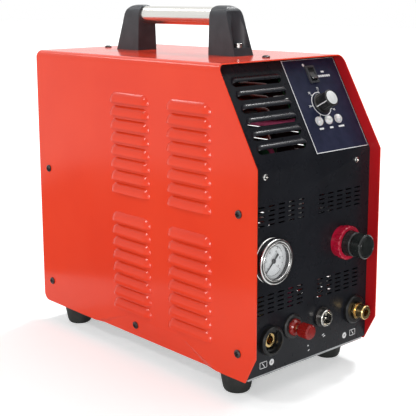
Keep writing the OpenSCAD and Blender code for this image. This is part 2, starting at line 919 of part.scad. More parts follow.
module regulator_bonnet() {
    flutes = 12;
    color("#17191a") place() on_front(reg_at) difference() {
        union() {
            disc(25, 9.6 + play, 19);
            translate([0, 0, 19]) cylinder(d1 = 25, d2 = 23, h = 1);
        }
        disc(2 * (reg_stem_r + run_gap), 9, 21);
        for (i = [0 : flutes - 1]) rotate([0, 0, i * 360 / flutes])
            translate([25 / 2 + 1.2, 0, 12.4]) cylinder(r = 2, h = 5.4);
    }
}

module regulator_stem() {
    color("#202224") place() on_front(reg_at) {
        disc(2 * reg_stem_r, 9.7, 28.5);
        disc(10, -11.5, 9.7);
    }
}

module regulator_knob() {
    reach = front_reach + panel_y;
    color("#222526") place() on_front(reg_at) difference() {
        union() {
            translate([0, 0, 21]) cylinder(d1 = reg_cap_d - 1.6, d2 = reg_cap_d, h = 0.8);
            disc(reg_cap_d, 21.8, reach - 1.4);
            translate([0, 0, reach - 1.4]) cylinder(d1 = reg_cap_d, d2 = reg_cap_d - 2.8, h = 1.4);
        }
        disc(2 * (reg_stem_r + run_gap), 20, 29);
        translate([0, 0, reach - 0.4]) ring(20.4, 19.2, 0, 1);
    }
}

// Earth (work clamp) socket

module earth_socket_body() {
    color("#131313") place() on_front(earth_at) difference() {
        union() {
            disc(earth_d, 0, 4.4);
            translate([0, 0, 4.4]) cylinder(d1 = earth_d, d2 = earth_d - 2.4, h = 1.2);
            disc(21.6, -16, 0);
        }
        disc(23.2, 2.6, 7);
        disc(17.4, -1.6, 3);
        disc(14.2, -17, 0);
        for (turn = [0, 90]) rotate([0, 0, turn + 45]) slab([20.8, 3.4], 0.6, 3);
    }
    color("#131313") place() on_front(earth_at) difference() {
        hex(27, -5.2, -sheet - play);
        disc(21.6, -6, 0);
    }
}

module earth_socket_insert() {
    color("goldenrod") place() on_front(earth_at) difference() {
        union() {
            disc(14, -22, 0);
            disc(10, -33, -22);
        }
        disc(earth_bore_d, -18, 1);
        translate([0, earth_bore_d / 2, 0]) slab([3, 3.4], -9, 1);
        disc(5, -34, -24);
    }
}

// Pilot arc terminal: a binding post

module pilot_terminal_base() {
    color("#3c3a3c") place() on_front(pilot_at) {
        difference() {
            union() {
                disc(25, 0, 2.2);
                translate([0, 0, 2.2]) cylinder(d1 = 25, d2 = 22, h = 1.4);
                disc(9.8, -6, 0);
            }
            disc(6.1, -7, 5);
        }
        difference() {
            hex(14, -6, -sheet - play);
            disc(9.8, -7, 0);
        }
    }
}

module pilot_terminal_collar() {
    color("#b01818") place() on_front(pilot_at) difference() {
        rotate_extrude() polygon([[3.05, 3.7], [8.5, 3.7], [8.5, 5.4], [6.6, 8], [3.05, 8]]);
        for (turn = [0 : 60 : 300]) rotate([0, 0, turn]) translate([9.4, 0, 3]) cylinder(r = 1.7, h = 6);
    }
}

module pilot_terminal_stud() {
    color("goldenrod") place() on_front(pilot_at) {
        disc(5.96, -16, 20.4);
        difference() {
            hex(10, -9.6, -6.1);
            disc(5, -10, -6);
        }
    }
}

module pilot_terminal_washer() {
    color("silver") place() on_front(pilot_at) ring(12, 6.12, 11.4, 12.3);
}

module pilot_terminal_cap() {
    grips = 16;
    color("#a02018") place() on_front(pilot_at) difference() {
        union() {
            disc(pilot_cap_d - 2, 12.4, 14);
            disc(pilot_cap_d, 14, 24);
            translate([0, 0, 24]) cylinder(d1 = pilot_cap_d, d2 = pilot_cap_d - 3, h = 1.5);
        }
        disc(6.12, 11, 24);
        for (i = [0 : grips - 1]) rotate([0, 0, i * 360 / grips])
            translate([pilot_cap_d / 2 + 0.5, 0, 15]) cylinder(r = 0.9, h = 12);
    }
}

// Trigger socket

module trigger_socket_nut() {
    notches = 20;
    color("#3a3d40") place() on_front(trigger_at) difference() {
        ring(21, 15.8, 0, 2.4);
        for (i = [0 : notches - 1]) rotate([0, 0, i * 360 / notches])
            translate([21 / 2 + 0.4, 0, -1]) cylinder(r = 0.9, h = 4);
    }
}

module trigger_socket_shell() {
    color("#dcdcdc") place() on_front(trigger_at) difference() {
        union() {
            disc(15.7, -12, 2.5);
            disc(trigger_d, 2.5, 7.6);
            translate([0, 0, 7.6]) cylinder(d1 = trigger_d, d2 = trigger_d - 1.4, h = 0.8);
        }
        disc(13.2, 1, 9);
        disc(12, -13, 2);
        translate([0, trigger_d / 2 - 2.4, 0]) slab([2.4, 2], 3, 9);
    }
}

module trigger_socket_insert() {
    color("#1c1c1c") place() on_front(trigger_at) {
        difference() {
            disc(11.9, -10, 1);
            for (side = [-1, 1]) translate([side * 3.2, 0, 0]) disc(2, -4, 2);
        }
        for (side = [-1, 1]) translate([side * 3.2, 0, 0]) disc(1.96, -3.9, 7);
    }
}

// Torch socket

module torch_socket_flange() {
    color("#101010") place() on_front(torch_at) {
        difference() {
            union() {
                disc(torch_d, 0, 3.4);
                translate([0, 0, 3.4]) cylinder(d1 = torch_d, d2 = torch_d - 3, h = 1.4);
                disc(19.6, -10, 0);
            }
            disc(14.3, -11, 6);
            disc(19, 3.2, 6);
        }
        difference() {
            hex(25, -5.2, -sheet - play);
            disc(19.6, -6, 0);
        }
    }
}

module torch_socket_fitting() {
    color("#c9a55a") place() on_front(torch_at) difference() {
        union() {
            disc(14.2, -24, 4.9);
            hex(16, 4.9, 8);
            disc(torch_nose_d - 1.6, 8, 9.4);
            disc(torch_nose_d, 9.4, 17);
            translate([0, 0, 17]) cylinder(d1 = torch_nose_d, d2 = torch_nose_d - 1.6, h = 1);
        }
        disc(torch_bore_d, 5.4, 19);
        disc(5, -25, 6);
    }
}

// Fan

module at_fan_holes() {
    for (x = [-1, 1], y = [-1, 1]) translate([x * fan_hole_step / 2, y * fan_hole_step / 2, 0]) children();
}

module fan_frame() {
    low = -sheet - fan_depth;
    color("#1c1c1c") place() on_rear(fan_at) {
        difference() {
            union() {
                slab([fan_size, fan_size], low, low + 4);
                slab([fan_size, fan_size], -sheet - 4, -sheet);
                disc(fan_bore + 5, low, -sheet);
            }
            disc(fan_bore, low - 1, 0);
            at_fan_holes() disc(4.4, low - 1, 0);
        }
        disc(40, low, low + 4);
        for (i = [0 : 3]) rotate([0, 0, 20 + 90 * i]) translate([18, -2, low]) cube([fan_bore / 2 - 17, 4, 3]);
        disc(5, low + 4, low + 14);
    }
}

module fan_rotor() {
    low = -sheet - fan_depth + 5;
    high = -sheet - 4;
    blades = 7;
    color("#2c2c2e") place() on_rear(fan_at) difference() {
        union() {
            disc(42, low, high);
            intersection() {
                for (i = [0 : blades - 1]) rotate([0, 0, i * 360 / blades])
                    translate([18, 0, (low + high) / 2]) rotate([50, 0, 0])
                        translate([0, -19, -1]) cube([40, 38, 2]);
                disc(fan_bore - 4, low, high);
            }
        }
        disc(38, low - 1, high - 3);
        disc(5 + 2 * run_gap, low - 1, high - 2);
    }
    color("#2c2c2e") place() on_rear(fan_at) ring(12, 5 + 2 * run_gap, low + 0.5, high - 2);
}

module fan_guard() {
    wire = 2;
    reach = 59;
    rings = [20, 36, 52, 68, 84, 100, 114];
    color("#c8c8c8") place() on_rear(fan_at) {
        for (d = rings) rotate_extrude() translate([d / 2, 4.5]) circle(d = wire);
        for (turn = [45, 135]) rotate([0, 0, turn]) translate([-reach, 0, 2.9]) rotate([0, 90, 0])
            cylinder(d = wire, h = 2 * reach);
        at_fan_holes() difference() {
            disc(9, 0, 1.2);
            disc(4.4, -1, 2);
        }
        for (turn = [45 : 90 : 315]) rotate([0, 0, turn]) translate([reach, 0, 0]) {
            disc(wire + 0.6, 0, 2.9);
            translate([0, -1, 0]) cube([fan_hole_step / sqrt(2) - reach - 2.3, 2, 1.2]);
        }
        at_fan_holes() translate([0, 0, 1.2]) pan_screw(4, 7.6, 2.2, 12);
    }
}

module cable_gland() {
    color("#1a1a1a") place() on_rear(gland_at) difference() {
        union() {
            hex(22, 0, 5);
            disc(16, -8, 5);
            disc(19, 5, 8);
            translate([0, 0, 8]) hex(22, 0, 6);
            translate([0, 0, 14]) cylinder(d1 = 21, d2 = 15, h = rear_recess + rear_reach - 14);
            difference() {
                hex(22, -6, -sheet - play);
                disc(15.8, -7, 0);
            }
        }
        disc(gland_bore_d, -9, rear_recess + rear_reach + 1);
    }
}

// Inside

module compressor_motor() {
    color("#6f7478") place() translate([comp_x, 310, comp_z]) rotate([90, 0, 0]) difference() {
        union() {
            disc(60, 4, 92);
            disc(52, 0, 4);
            disc(52, 92, 96);
            disc(18, -6, 0);
            slab([46, 30], 20, 34);
        }
        for (i = [0 : 5]) rotate([0, 0, 60 * i]) translate([19, 0, 0]) disc(8, -1, 3);
    }
    color("#6f7478") place() for (y = [228, 290]) difference() {
        translate([comp_x - 26, y - 8, 1.6]) cube([52, 16, comp_z - 22]);
        translate([comp_x, 310, comp_z]) rotate([90, 0, 0]) disc(60, -10, 100);
    }
}

module compressor_head() {
    fins = 6;
    color("#a9adb0") place() {
        translate([comp_x, 0, comp_z]) {
            difference() {
                translate([-30, 160, -30]) cube([60, 53.9, 62]);
                translate([0, 190, 0]) rotate([90, 0, 0]) disc(44, -25, 10);
            }
            translate([0, 187, 32]) disc(44, 0, 42);
            for (i = [0 : fins - 1]) translate([0, 187, 34 + 6 * i]) slab([58, 52], 0, 2);
            translate([0, 187, 70]) slab([58, 52], 0, 12);
            translate([0, 187, 82]) disc(14, 0, 6);
        }
        for (x = [-24, 24], y = [168, 206]) translate([comp_x + x, y, 1.6]) disc(12, 0, comp_z - 31.6);
    }
}

module solenoid_valve() {
    color("#b8923c") place() translate([52, 150, 1.6]) {
        slab([30, 34], 0, 26);
        disc(26, 26, 58);
        disc(10, 58, 64);
        translate([0, 0, 13]) rotate([90, 0, 0]) disc(12, -26, 26);
    }
}

module power_board() {
    color("#1f5a2e") place() {
        translate([-75, 75, board_z]) cube([150, 220, board_t]);
        for (side = [-1, 1], y = [100, 260])
            translate([side * 62, y, shelf_z + sheet]) disc(7, 0, board_z - shelf_z - sheet);
        for (i = [0 : 2]) translate([-40 + 36 * i, 110, board_z + board_t]) disc(30, 0, 42);
        translate([0, 210, board_z + board_t]) {
            slab([54, 44], 0, 46);
            slab([40, 62], 6, 40);
        }
        for (i = [0 : 3]) translate([-60 + 34 * i, 84, board_z + board_t]) cube([14, 8, 10]);
    }
}

module heatsinks() {
    fins = 7;
    color("#b4b8bc") place() both_sides() translate([34, 155, board_z + board_t]) {
        cube([5, 125, 70]);
        for (i = [0 : fins - 1]) translate([5, 0, 2 + i * 10.5]) cube([30, 125, 3]);
    }
}

cover();
base_tray();
front_panel();
rear_panel();
shelf_plate();
control_overlay();
handle_post_front();
handle_post_rear();
handle_tube();
handle_screws();
foot_front_left();
foot_front_right();
foot_rear_left();
foot_rear_right();
foot_screws();
cover_screws();
panel_screws();
air_switch_bezel();
air_switch_rocker();
current_pot();
current_shaft();
current_knob();
led_left();
led_middle();
led_right();
control_board();
gauge_case();
gauge_flange();
gauge_bezel();
gauge_dial();
gauge_lens();
gauge_needle();
regulator_body();
regulator_ring();
regulator_bonnet();
regulator_stem();
regulator_knob();
earth_socket_body();
earth_socket_insert();
pilot_terminal_base();
pilot_terminal_collar();
pilot_terminal_stud();
pilot_terminal_washer();
pilot_terminal_cap();
trigger_socket_nut();
trigger_socket_shell();
trigger_socket_insert();
torch_socket_flange();
torch_socket_fitting();
fan_frame();
fan_rotor();
fan_guard();
mains_switch_body();
mains_switch_rocker();
cable_gland();
compressor_motor();
compressor_head();
solenoid_valve();
power_board();
heatsinks();
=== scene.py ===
import json
import math

import bmesh
import bpy
from mathutils import Euler, Matrix, Vector

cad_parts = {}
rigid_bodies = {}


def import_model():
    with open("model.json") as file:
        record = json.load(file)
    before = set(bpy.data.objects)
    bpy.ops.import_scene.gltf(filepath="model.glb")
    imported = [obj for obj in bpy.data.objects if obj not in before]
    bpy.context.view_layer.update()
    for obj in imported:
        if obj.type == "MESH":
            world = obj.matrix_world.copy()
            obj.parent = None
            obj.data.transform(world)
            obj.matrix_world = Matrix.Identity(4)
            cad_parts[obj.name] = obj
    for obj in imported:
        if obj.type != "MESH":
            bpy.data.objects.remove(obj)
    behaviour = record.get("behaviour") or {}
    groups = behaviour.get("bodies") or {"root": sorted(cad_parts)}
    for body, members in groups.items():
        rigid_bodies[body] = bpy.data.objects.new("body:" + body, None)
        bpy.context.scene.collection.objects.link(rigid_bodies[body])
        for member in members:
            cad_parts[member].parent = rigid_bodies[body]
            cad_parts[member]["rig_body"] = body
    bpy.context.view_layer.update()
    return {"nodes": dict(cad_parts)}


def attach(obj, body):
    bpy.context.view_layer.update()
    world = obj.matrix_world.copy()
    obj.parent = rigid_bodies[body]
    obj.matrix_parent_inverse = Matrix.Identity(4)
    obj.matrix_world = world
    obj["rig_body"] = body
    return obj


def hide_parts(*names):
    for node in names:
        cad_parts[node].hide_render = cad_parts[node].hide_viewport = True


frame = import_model()
nodes = frame["nodes"]
print("frame loaded with", len(nodes), "nodes")

# Measures of the case in millimetres: y runs back from its front edge, z up from its underside
case = {
    "midY": -175.15, "footHeight": 22.5,
    "panelY": 12.5,
    "slopeDegrees": 29.5711, "slopeY": 10.002, "slopeZ": 201.625,
    "halfWidth": 90.0, "height": 300.0,
}


def casePoint(x, y, z):
    return Vector((x, y + case["midY"], z + case["footHeight"])) / 1000


def facePlace(x, y, z, lean):
    turn = Matrix.Rotation(math.radians(90) - lean, 4, "X")
    return Matrix.Translation(casePoint(x, y, z)) @ turn @ Matrix.Scale(0.001, 4)


def frontPlace(x, z, out=0.0):  # local Z is the outward normal, as on the slope
    return facePlace(x, case["panelY"] - out, z, 0.0)


def slopePlace(x, s, out=0.0):  # s runs up the slope from its lower edge
    lean = math.radians(case["slopeDegrees"])
    y = case["slopeY"] + s * math.sin(lean) - out * math.cos(lean)
    z = case["slopeZ"] + s * math.cos(lean) + out * math.sin(lean)
    return facePlace(x, y, z, lean)


cellKind = "ShaderNodeTexVoronoi"


def newFinish(name, settings):
    finish = bpy.data.materials.new(name)
    finish.use_nodes = True
    tree = finish.node_tree
    shader = tree.nodes["Principled BSDF"]
    for socket, value in settings.get("surface", {}).items():
        shader.inputs[socket].default_value = value
    coordinates = tree.nodes.new("ShaderNodeTexCoord")
    mapping = tree.nodes.new("ShaderNodeMapping")
    mapping.inputs["Scale"].default_value = settings.get("stretch", (1, 1, 1))
    tree.links.new(coordinates.outputs["Object"], mapping.inputs["Vector"])

    def pattern(scale, detail=4.0, kind="ShaderNodeTexNoise"):
        made = tree.nodes.new(kind)
        made.inputs["Scale"].default_value = scale
        if "Detail" in made.inputs:
            made.inputs["Detail"].default_value = detail
        tree.links.new(mapping.outputs["Vector"], made.inputs["Vector"])
        return made.outputs["Distance" if kind == cellKind else 0]

    tones = tree.nodes.new("ShaderNodeValToRGB")
    low, high = settings.get("toneSpan", (0.35, 0.65))
    tones.color_ramp.elements[0].position = low
    tones.color_ramp.elements[1].position = high
    tones.color_ramp.elements[0].color = (*settings["tones"][0], 1)
    tones.color_ramp.elements[1].color = (*settings["tones"][1], 1)
    tree.links.new(pattern(settings.get("toneScale", 30)), tones.inputs["Fac"])
    tree.links.new(tones.outputs["Color"], shader.inputs["Base Color"])

    sheen = tree.nodes.new("ShaderNodeMapRange")
    sheen.inputs["To Min"].default_value, sheen.inputs["To Max"].default_value = settings["roughness"]
    tree.links.new(pattern(settings.get("sheenScale", 60)), sheen.inputs["Value"])
    tree.links.new(sheen.outputs["Result"], shader.inputs["Roughness"])

    grain = settings.get("grain")
    if grain:
        bump = tree.nodes.new("ShaderNodeBump")
        bump.inputs["Strength"].default_value = grain.get("strength", 0.5)
        bump.inputs["Distance"].default_value = grain["height"]
        grainKind = grain.get("kind", "ShaderNodeTexNoise")
        tree.links.new(pattern(grain["scale"], grain.get("detail", 2.0), grainKind), bump.inputs["Height"])
        tree.links.new(bump.outputs["Normal"], shader.inputs["Normal"])
    return finish


finishes = {  # tones and roughness lie between the two values, and grain is a fine bump in metres
    # gloss stove paint with a little orange peel
    "redPaint": newFinish("redPaint", {
        "tones": [(0.86, 0.050, 0.015), (0.90, 0.060, 0.019)], "toneScale": 9,
        "roughness": (0.13, 0.20), "sheenScale": 25,
        "grain": {"scale": 260, "height": 0.00004, "strength": 0.25},
        "surface": {"IOR": 1.42, "Specular IOR Level": 0.4}}),
    # satin powder coat
    "panelBlack": newFinish("panelBlack", {
        "tones": [(0.0115, 0.0122, 0.0160), (0.0150, 0.0160, 0.0205)], "toneScale": 40,
        "roughness": (0.24, 0.32), "sheenScale": 90,
        "grain": {"scale": 900, "height": 0.00004, "strength": 0.3},
        "surface": {"Specular IOR Level": 0.19}}),
    "zincSheet": newFinish("zincSheet", {
        "tones": [(0.42, 0.43, 0.44), (0.60, 0.61, 0.62)], "toneScale": 55,
        "roughness": (0.30, 0.45), "grain": {"scale": 300, "height": 0.00003, "kind": cellKind},
        "surface": {"Metallic": 1.0}}),
    "overlayFilm": newFinish("overlayFilm", {
        "tones": [(0.0125, 0.0160, 0.039), (0.019, 0.0215, 0.051)], "toneScale": 120,
        "roughness": (0.36, 0.46), "grain": {"scale": 1600, "height": 0.00002, "strength": 0.4},
        "surface": {"Specular IOR Level": 0.2}}),
    "overlayInk": newFinish("overlayInk", {
        "tones": [(0.78, 0.78, 0.80), (0.88, 0.88, 0.88)], "toneScale": 300,
        "roughness": (0.4, 0.5), "grain": {"scale": 1200, "height": 0.00001}}),
    "postPlastic": newFinish("postPlastic", {
        "tones": [(0.032, 0.035, 0.041), (0.044, 0.048, 0.055)], "toneScale": 80,
        "roughness": (0.34, 0.46), "grain": {"scale": 1100, "height": 0.00006, "strength": 0.5},
        "surface": {"Specular IOR Level": 0.4}}),
    "tubeSteel": newFinish("tubeSteel", {
        "tones": [(0.66, 0.65, 0.61), (0.76, 0.75, 0.71)], "toneScale": 60, "stretch": (1, 0.06, 1),
        "roughness": (0.20, 0.30), "sheenScale": 120,
        "grain": {"scale": 900, "height": 0.00001, "strength": 0.4},
        "surface": {"Metallic": 1.0}}),
    "screwSteel": newFinish("screwSteel", {
        "tones": [(0.62, 0.61, 0.59), (0.80, 0.79, 0.77)], "toneScale": 400,
        "roughness": (0.16, 0.30), "grain": {"scale": 900, "height": 0.00002},
        "surface": {"Metallic": 1.0}}),
    "screwBlack": newFinish("screwBlack", {
        "tones": [(0.045, 0.042, 0.045), (0.09, 0.085, 0.085)], "toneScale": 500,
        "roughness": (0.26, 0.40), "grain": {"scale": 900, "height": 0.00002},
        "surface": {"Metallic": 0.8}}),
    "footRubber": newFinish("footRubber", {
        "tones": [(0.022, 0.024, 0.023), (0.038, 0.040, 0.037)], "toneScale": 70,
        "roughness": (0.55, 0.7), "grain": {"scale": 700, "height": 0.0001, "strength": 0.5},
        "surface": {"Specular IOR Level": 0.35}}),
    "bezelGrey": newFinish("bezelGrey", {
        "tones": [(0.045, 0.046, 0.052), (0.070, 0.071, 0.080)], "toneScale": 150,
        "roughness": (0.22, 0.34), "grain": {"scale": 1300, "height": 0.00002}}),
    "rockerBlack": newFinish("rockerBlack", {
        "tones": [(0.010, 0.010, 0.011), (0.017, 0.017, 0.018)], "toneScale": 200,
        "roughness": (0.12, 0.2), "grain": {"scale": 900, "height": 0.00001}}),
    "potBlue": newFinish("potBlue", {
        "tones": [(0.05, 0.12, 0.30), (0.07, 0.16, 0.36)], "toneScale": 90,
        "roughness": (0.35, 0.5), "grain": {"scale": 800, "height": 0.00003}}),
    "knobBlack": newFinish("knobBlack", {
        "tones": [(0.010, 0.010, 0.010), (0.020, 0.019, 0.020)], "toneScale": 160,
        "roughness": (0.3, 0.42), "grain": {"scale": 1200, "height": 0.00003}}),
    "capGraphite": newFinish("capGraphite", {
        "tones": [(0.008, 0.010, 0.010), (0.016, 0.019, 0.018)], "toneScale": 140,
        "roughness": (0.14, 0.22), "grain": {"scale": 1000, "height": 0.00003}}),
    "lensMilk": newFinish("lensMilk", {
        "tones": [(0.58, 0.57, 0.58), (0.90, 0.89, 0.88)], "toneScale": 330, "toneSpan": (0.4, 0.6),
        "roughness": (0.08, 0.16), "grain": {"scale": 500, "height": 0.00002},
        "surface": {"Subsurface Weight": 0.15, "Subsurface Scale": 0.002}}),
    "boardGreen": newFinish("boardGreen", {
        "tones": [(0.010, 0.075, 0.025), (0.028, 0.15, 0.05)], "toneScale": 210, "toneSpan": (0.48, 0.52),
        "roughness": (0.3, 0.45), "grain": {"scale": 210, "height": 0.00003}}),
    "gaugeChrome": newFinish("gaugeChrome", {
        "tones": [(0.74, 0.72, 0.71), (0.82, 0.81, 0.80)], "toneScale": 120,
        "roughness": (0.05, 0.11), "grain": {"scale": 700, "height": 0.000008},
        "surface": {"Metallic": 1.0}}),
    "dialWhite": newFinish("dialWhite", {
        "tones": [(0.86, 0.88, 0.90), (0.92, 0.93, 0.94)], "toneScale": 120,
        "roughness": (0.45, 0.55), "grain": {"scale": 900, "height": 0.00001}}),
    "dialInk": newFinish("dialInk", {
        "tones": [(0.003, 0.003, 0.005), (0.008, 0.008, 0.011)], "toneScale": 300,
        "roughness": (0.45, 0.55), "grain": {"scale": 900, "height": 0.00001}}),
    "lensGlass": newFinish("lensGlass", {
        "tones": [(0.95, 0.97, 0.98), (0.98, 0.99, 1.0)], "toneScale": 60,
        "roughness": (0.01, 0.04), "sheenScale": 20,
        "surface": {"Alpha": 0.05}}),
    "castAlloy": newFinish("castAlloy", {
        "tones": [(0.50, 0.51, 0.52), (0.66, 0.67, 0.68)], "toneScale": 120,
        "roughness": (0.38, 0.55), "grain": {"scale": 600, "height": 0.0001},
        "surface": {"Metallic": 0.9}}),
    "ringRed": newFinish("ringRed", {
        "tones": [(0.40, 0.003, 0.022), (0.58, 0.008, 0.045)], "toneScale": 180,
        "roughness": (0.10, 0.17), "grain": {"scale": 600, "height": 0.00002},
        "surface": {"Specular IOR Level": 0.7}}),
    "socketBlack": newFinish("socketBlack", {
        "tones": [(0.007, 0.007, 0.0075), (0.014, 0.014, 0.0145)], "toneScale": 140,
        "roughness": (0.26, 0.38), "grain": {"scale": 1100, "height": 0.00003},
        "surface": {"Specular IOR Level": 0.35}}),
    "brass": newFinish("brass", {
        "tones": [(0.62, 0.42, 0.17), (0.78, 0.58, 0.28)], "toneScale": 190,
        "roughness": (0.16, 0.28), "grain": {"scale": 700, "height": 0.00002},
        "surface": {"Metallic": 1.0}}),
    "terminalRed": newFinish("terminalRed", {
        "tones": [(0.21, 0.006, 0.005), (0.32, 0.012, 0.009)], "toneScale": 150,
        "roughness": (0.12, 0.2), "grain": {"scale": 900, "height": 0.00002}}),
    "nickel": newFinish("nickel", {
        "tones": [(0.60, 0.57, 0.52), (0.76, 0.74, 0.69)], "toneScale": 240,
        "roughness": (0.12, 0.22), "grain": {"scale": 800, "height": 0.00002},
        "surface": {"Metallic": 1.0}}),
    "fanBlack": newFinish("fanBlack", {
        "tones": [(0.012, 0.012, 0.013), (0.022, 0.022, 0.023)], "toneScale": 90,
        "roughness": (0.4, 0.5), "grain": {"scale": 1000, "height": 0.00004}}),
    "guardWire": newFinish("guardWire", {
        "tones": [(0.58, 0.58, 0.58), (0.74, 0.74, 0.73)], "toneScale": 160,
        "roughness": (0.14, 0.24), "grain": {"scale": 500, "height": 0.00002},
        "surface": {"Metallic": 1.0}}),
    "motorGrey": newFinish("motorGrey", {
        "tones": [(0.11, 0.12, 0.13), (0.16, 0.17, 0.18)], "toneScale": 60,
        "roughness": (0.4, 0.55), "grain": {"scale": 500, "height": 0.0001}}),
    "copperWire": newFinish("copperWire", {
        "tones": [(0.50, 0.20, 0.09), (0.66, 0.30, 0.14)], "toneScale": 150,
        "roughness": (0.2, 0.35), "grain": {"scale": 500, "height": 0.00003},
        "surface": {"Metallic": 1.0}}),
    "sleeveWhite": newFinish("sleeveWhite", {
        "tones": [(0.74, 0.73, 0.71), (0.86, 0.85, 0.83)], "toneScale": 90,
        "roughness": (0.4, 0.55), "grain": {"scale": 700, "height": 0.00003}}),
    "sleevePink": newFinish("sleevePink", {
        "tones": [(0.50, 0.06, 0.15), (0.62, 0.09, 0.22)], "toneScale": 90,
        "roughness": (0.3, 0.45), "grain": {"scale": 700, "height": 0.00003}}),
    "capAluminium": newFinish("capAluminium", {
        "tones": [(0.84, 0.85, 0.85), (0.94, 0.95, 0.94)], "toneScale": 160,
        "roughness": (0.25, 0.38), "grain": {"scale": 700, "height": 0.00002},
        "surface": {"Metallic": 0.25}}),
}
nodeFinishes = {
    "cover": "redPaint", "base_tray": "zincSheet", "front_panel": "panelBlack", "rear_panel": "panelBlack",
    "shelf_plate": "zincSheet", "control_overlay": "overlayFilm",
    "handle_post_front": "postPlastic", "handle_post_rear": "postPlastic", "handle_tube": "tubeSteel",
    "handle_screws": "screwSteel", "cover_screws": "screwBlack", "panel_screws": "screwSteel",
    "foot_front_left": "footRubber", "foot_front_right": "footRubber",
    "foot_rear_left": "footRubber", "foot_rear_right": "footRubber", "foot_screws": "screwSteel",
    "air_switch_bezel": "bezelGrey", "air_switch_rocker": "rockerBlack",
    "current_pot": "potBlue", "current_shaft": "zincSheet", "current_knob": "knobBlack",
    "led_left": "lensMilk", "led_middle": "lensMilk", "led_right": "lensMilk",
    "control_board": "boardGreen", "power_board": "boardGreen", "heatsinks": "castAlloy",
    "gauge_case": "panelBlack", "gauge_flange": "gaugeChrome", "gauge_bezel": "gaugeChrome",
    "gauge_dial": "dialWhite", "gauge_lens": "lensGlass", "gauge_needle": "dialInk",
    "regulator_body": "castAlloy", "regulator_ring": "ringRed", "regulator_bonnet": "knobBlack",
    "regulator_stem": "knobBlack", "regulator_knob": "capGraphite",
    "earth_socket_body": "socketBlack", "earth_socket_insert": "brass",
    "pilot_terminal_base": "knobBlack", "pilot_terminal_collar": "terminalRed",
    "pilot_terminal_stud": "brass", "pilot_terminal_washer": "nickel", "pilot_terminal_cap": "terminalRed",
    "trigger_socket_nut": "screwBlack", "trigger_socket_shell": "nickel",
    "trigger_socket_insert": "socketBlack",
    "torch_socket_flange": "socketBlack", "torch_socket_fitting": "brass",
    "fan_frame": "fanBlack", "fan_rotor": "fanBlack", "fan_guard": "guardWire",
    "mains_switch_body": "socketBlack", "mains_switch_rocker": "rockerBlack", "cable_gland": "socketBlack",
    "compressor_motor": "motorGrey", "compressor_head": "castAlloy", "solenoid_valve": "brass",
}

# Painted shade on the inside faces of the cover: a darker red on every inward face, and near-black behind
# the front panel.
# In millimetres, the near-black starts past the panel by "gap", above "low", and ends below the roof by
# "bend"
paintedInsideShade = {
    "coat": (0.50, 0.011, 0.015), "caseShade": (0.030, 0.012, 0.012),
    "gap": 1.5, "low": 30, "bend": 9,
}


# paints shade into the red paint: every inward face darker red, and near-black inside the case behind the
# front panel
def paintInsideShade(finish):
    c = paintedInsideShade
    tree = finish.node_tree
    shader = tree.nodes["Principled BSDF"]
    lean = math.radians(case["slopeDegrees"])
    start = casePoint(0, case["slopeY"] + c["gap"], case["slopeZ"])
    place = tree.nodes.new("ShaderNodeTexCoord")
    parts = tree.nodes.new("ShaderNodeSeparateXYZ")
    tree.links.new(place.outputs["Object"], parts.inputs["Vector"])
    behind = tree.nodes.new("ShaderNodeVectorMath")
    behind.operation = "DOT_PRODUCT"
    behind.inputs[1].default_value = (0, math.cos(lean), -math.sin(lean))
    tree.links.new(place.outputs["Object"], behind.inputs[0])
    level = start.y * math.cos(lean) - start.z * math.sin(lean)
    inward = tree.nodes.new("ShaderNodeAttribute")
    inward.attribute_name = "inside"
    tests = [
        (inward.outputs["Fac"], "GREATER_THAN", 0.5),
        (parts.outputs["Y"], "GREATER_THAN", casePoint(0, case["panelY"] + c["gap"], 0).y),
        (parts.outputs["Z"], "GREATER_THAN", casePoint(0, 0, c["low"]).z),
        (parts.outputs["Z"], "LESS_THAN", casePoint(0, 0, case["height"] - c["bend"]).z),
        (behind.outputs["Value"], "GREATER_THAN", level),
    ]
    masks = []
    for source, operation, limit in tests:
        test = tree.nodes.new("ShaderNodeMath")
        test.operation = operation
        test.inputs[1].default_value = limit
        tree.links.new(source, test.inputs[0])
        masks.append(test.outputs[0])
        if len(masks) > 1:
            both = tree.nodes.new("ShaderNodeMath")
            both.operation = "MULTIPLY"
            tree.links.new(masks[-2], both.inputs[0])
            tree.links.new(test.outputs[0], both.inputs[1])
            masks[-1] = both.outputs[0]
    # the first blend paints shade on the inward faces, the second paints near-black shade behind the panel
    for mask, tone in ((masks[0], c["coat"]), (masks[-1], c["caseShade"])):
        blend = tree.nodes.new("ShaderNodeMix")
        blend.data_type = "RGBA"
        blend.inputs[7].default_value = (*tone, 1)
        tree.links.new(mask, blend.inputs[0])
        tree.links.new(shader.inputs["Base Color"].links[0].from_socket, blend.inputs[6])
        tree.links.new(blend.outputs[2], shader.inputs["Base Color"])


paintInsideShade(finishes["redPaint"])
for nodeName, finishName in nodeFinishes.items():
    mesh = nodes[nodeName].data
    mesh.materials.clear()
    mesh.materials.append(finishes[finishName])
print("finishes made:", len(finishes))


def clearSelection():
    if bpy.context.object and bpy.context.object.mode != "OBJECT":
        bpy.ops.object.mode_set(mode="OBJECT")
    bpy.ops.object.select_all(action="DESELECT")


def makeActive(piece):
    clearSelection()
    piece.select_set(True)
    bpy.context.view_layer.objects.active = piece


def applyModifiers(piece):
    makeActive(piece)
    for modifier in list(piece.modifiers):
        bpy.ops.object.modifier_apply(modifier=modifier.name)


def settle(piece, name, place, finishName, body="root", smooth=35):
    applyModifiers(piece)
    bpy.ops.object.transform_apply(location=True, rotation=True, scale=True)
    piece.data.transform(place)
    piece.name = piece.data.name = name
    bpy.ops.object.shade_smooth_by_angle(angle=math.radians(smooth))
    piece.data.materials.clear()
    piece.data.materials.append(finishes[finishName])
    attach(piece, body)


def joined(parts):
    makeActive(parts[0])
    for part in parts:
        part.select_set(True)
    bpy.ops.object.join()
    return parts[0]


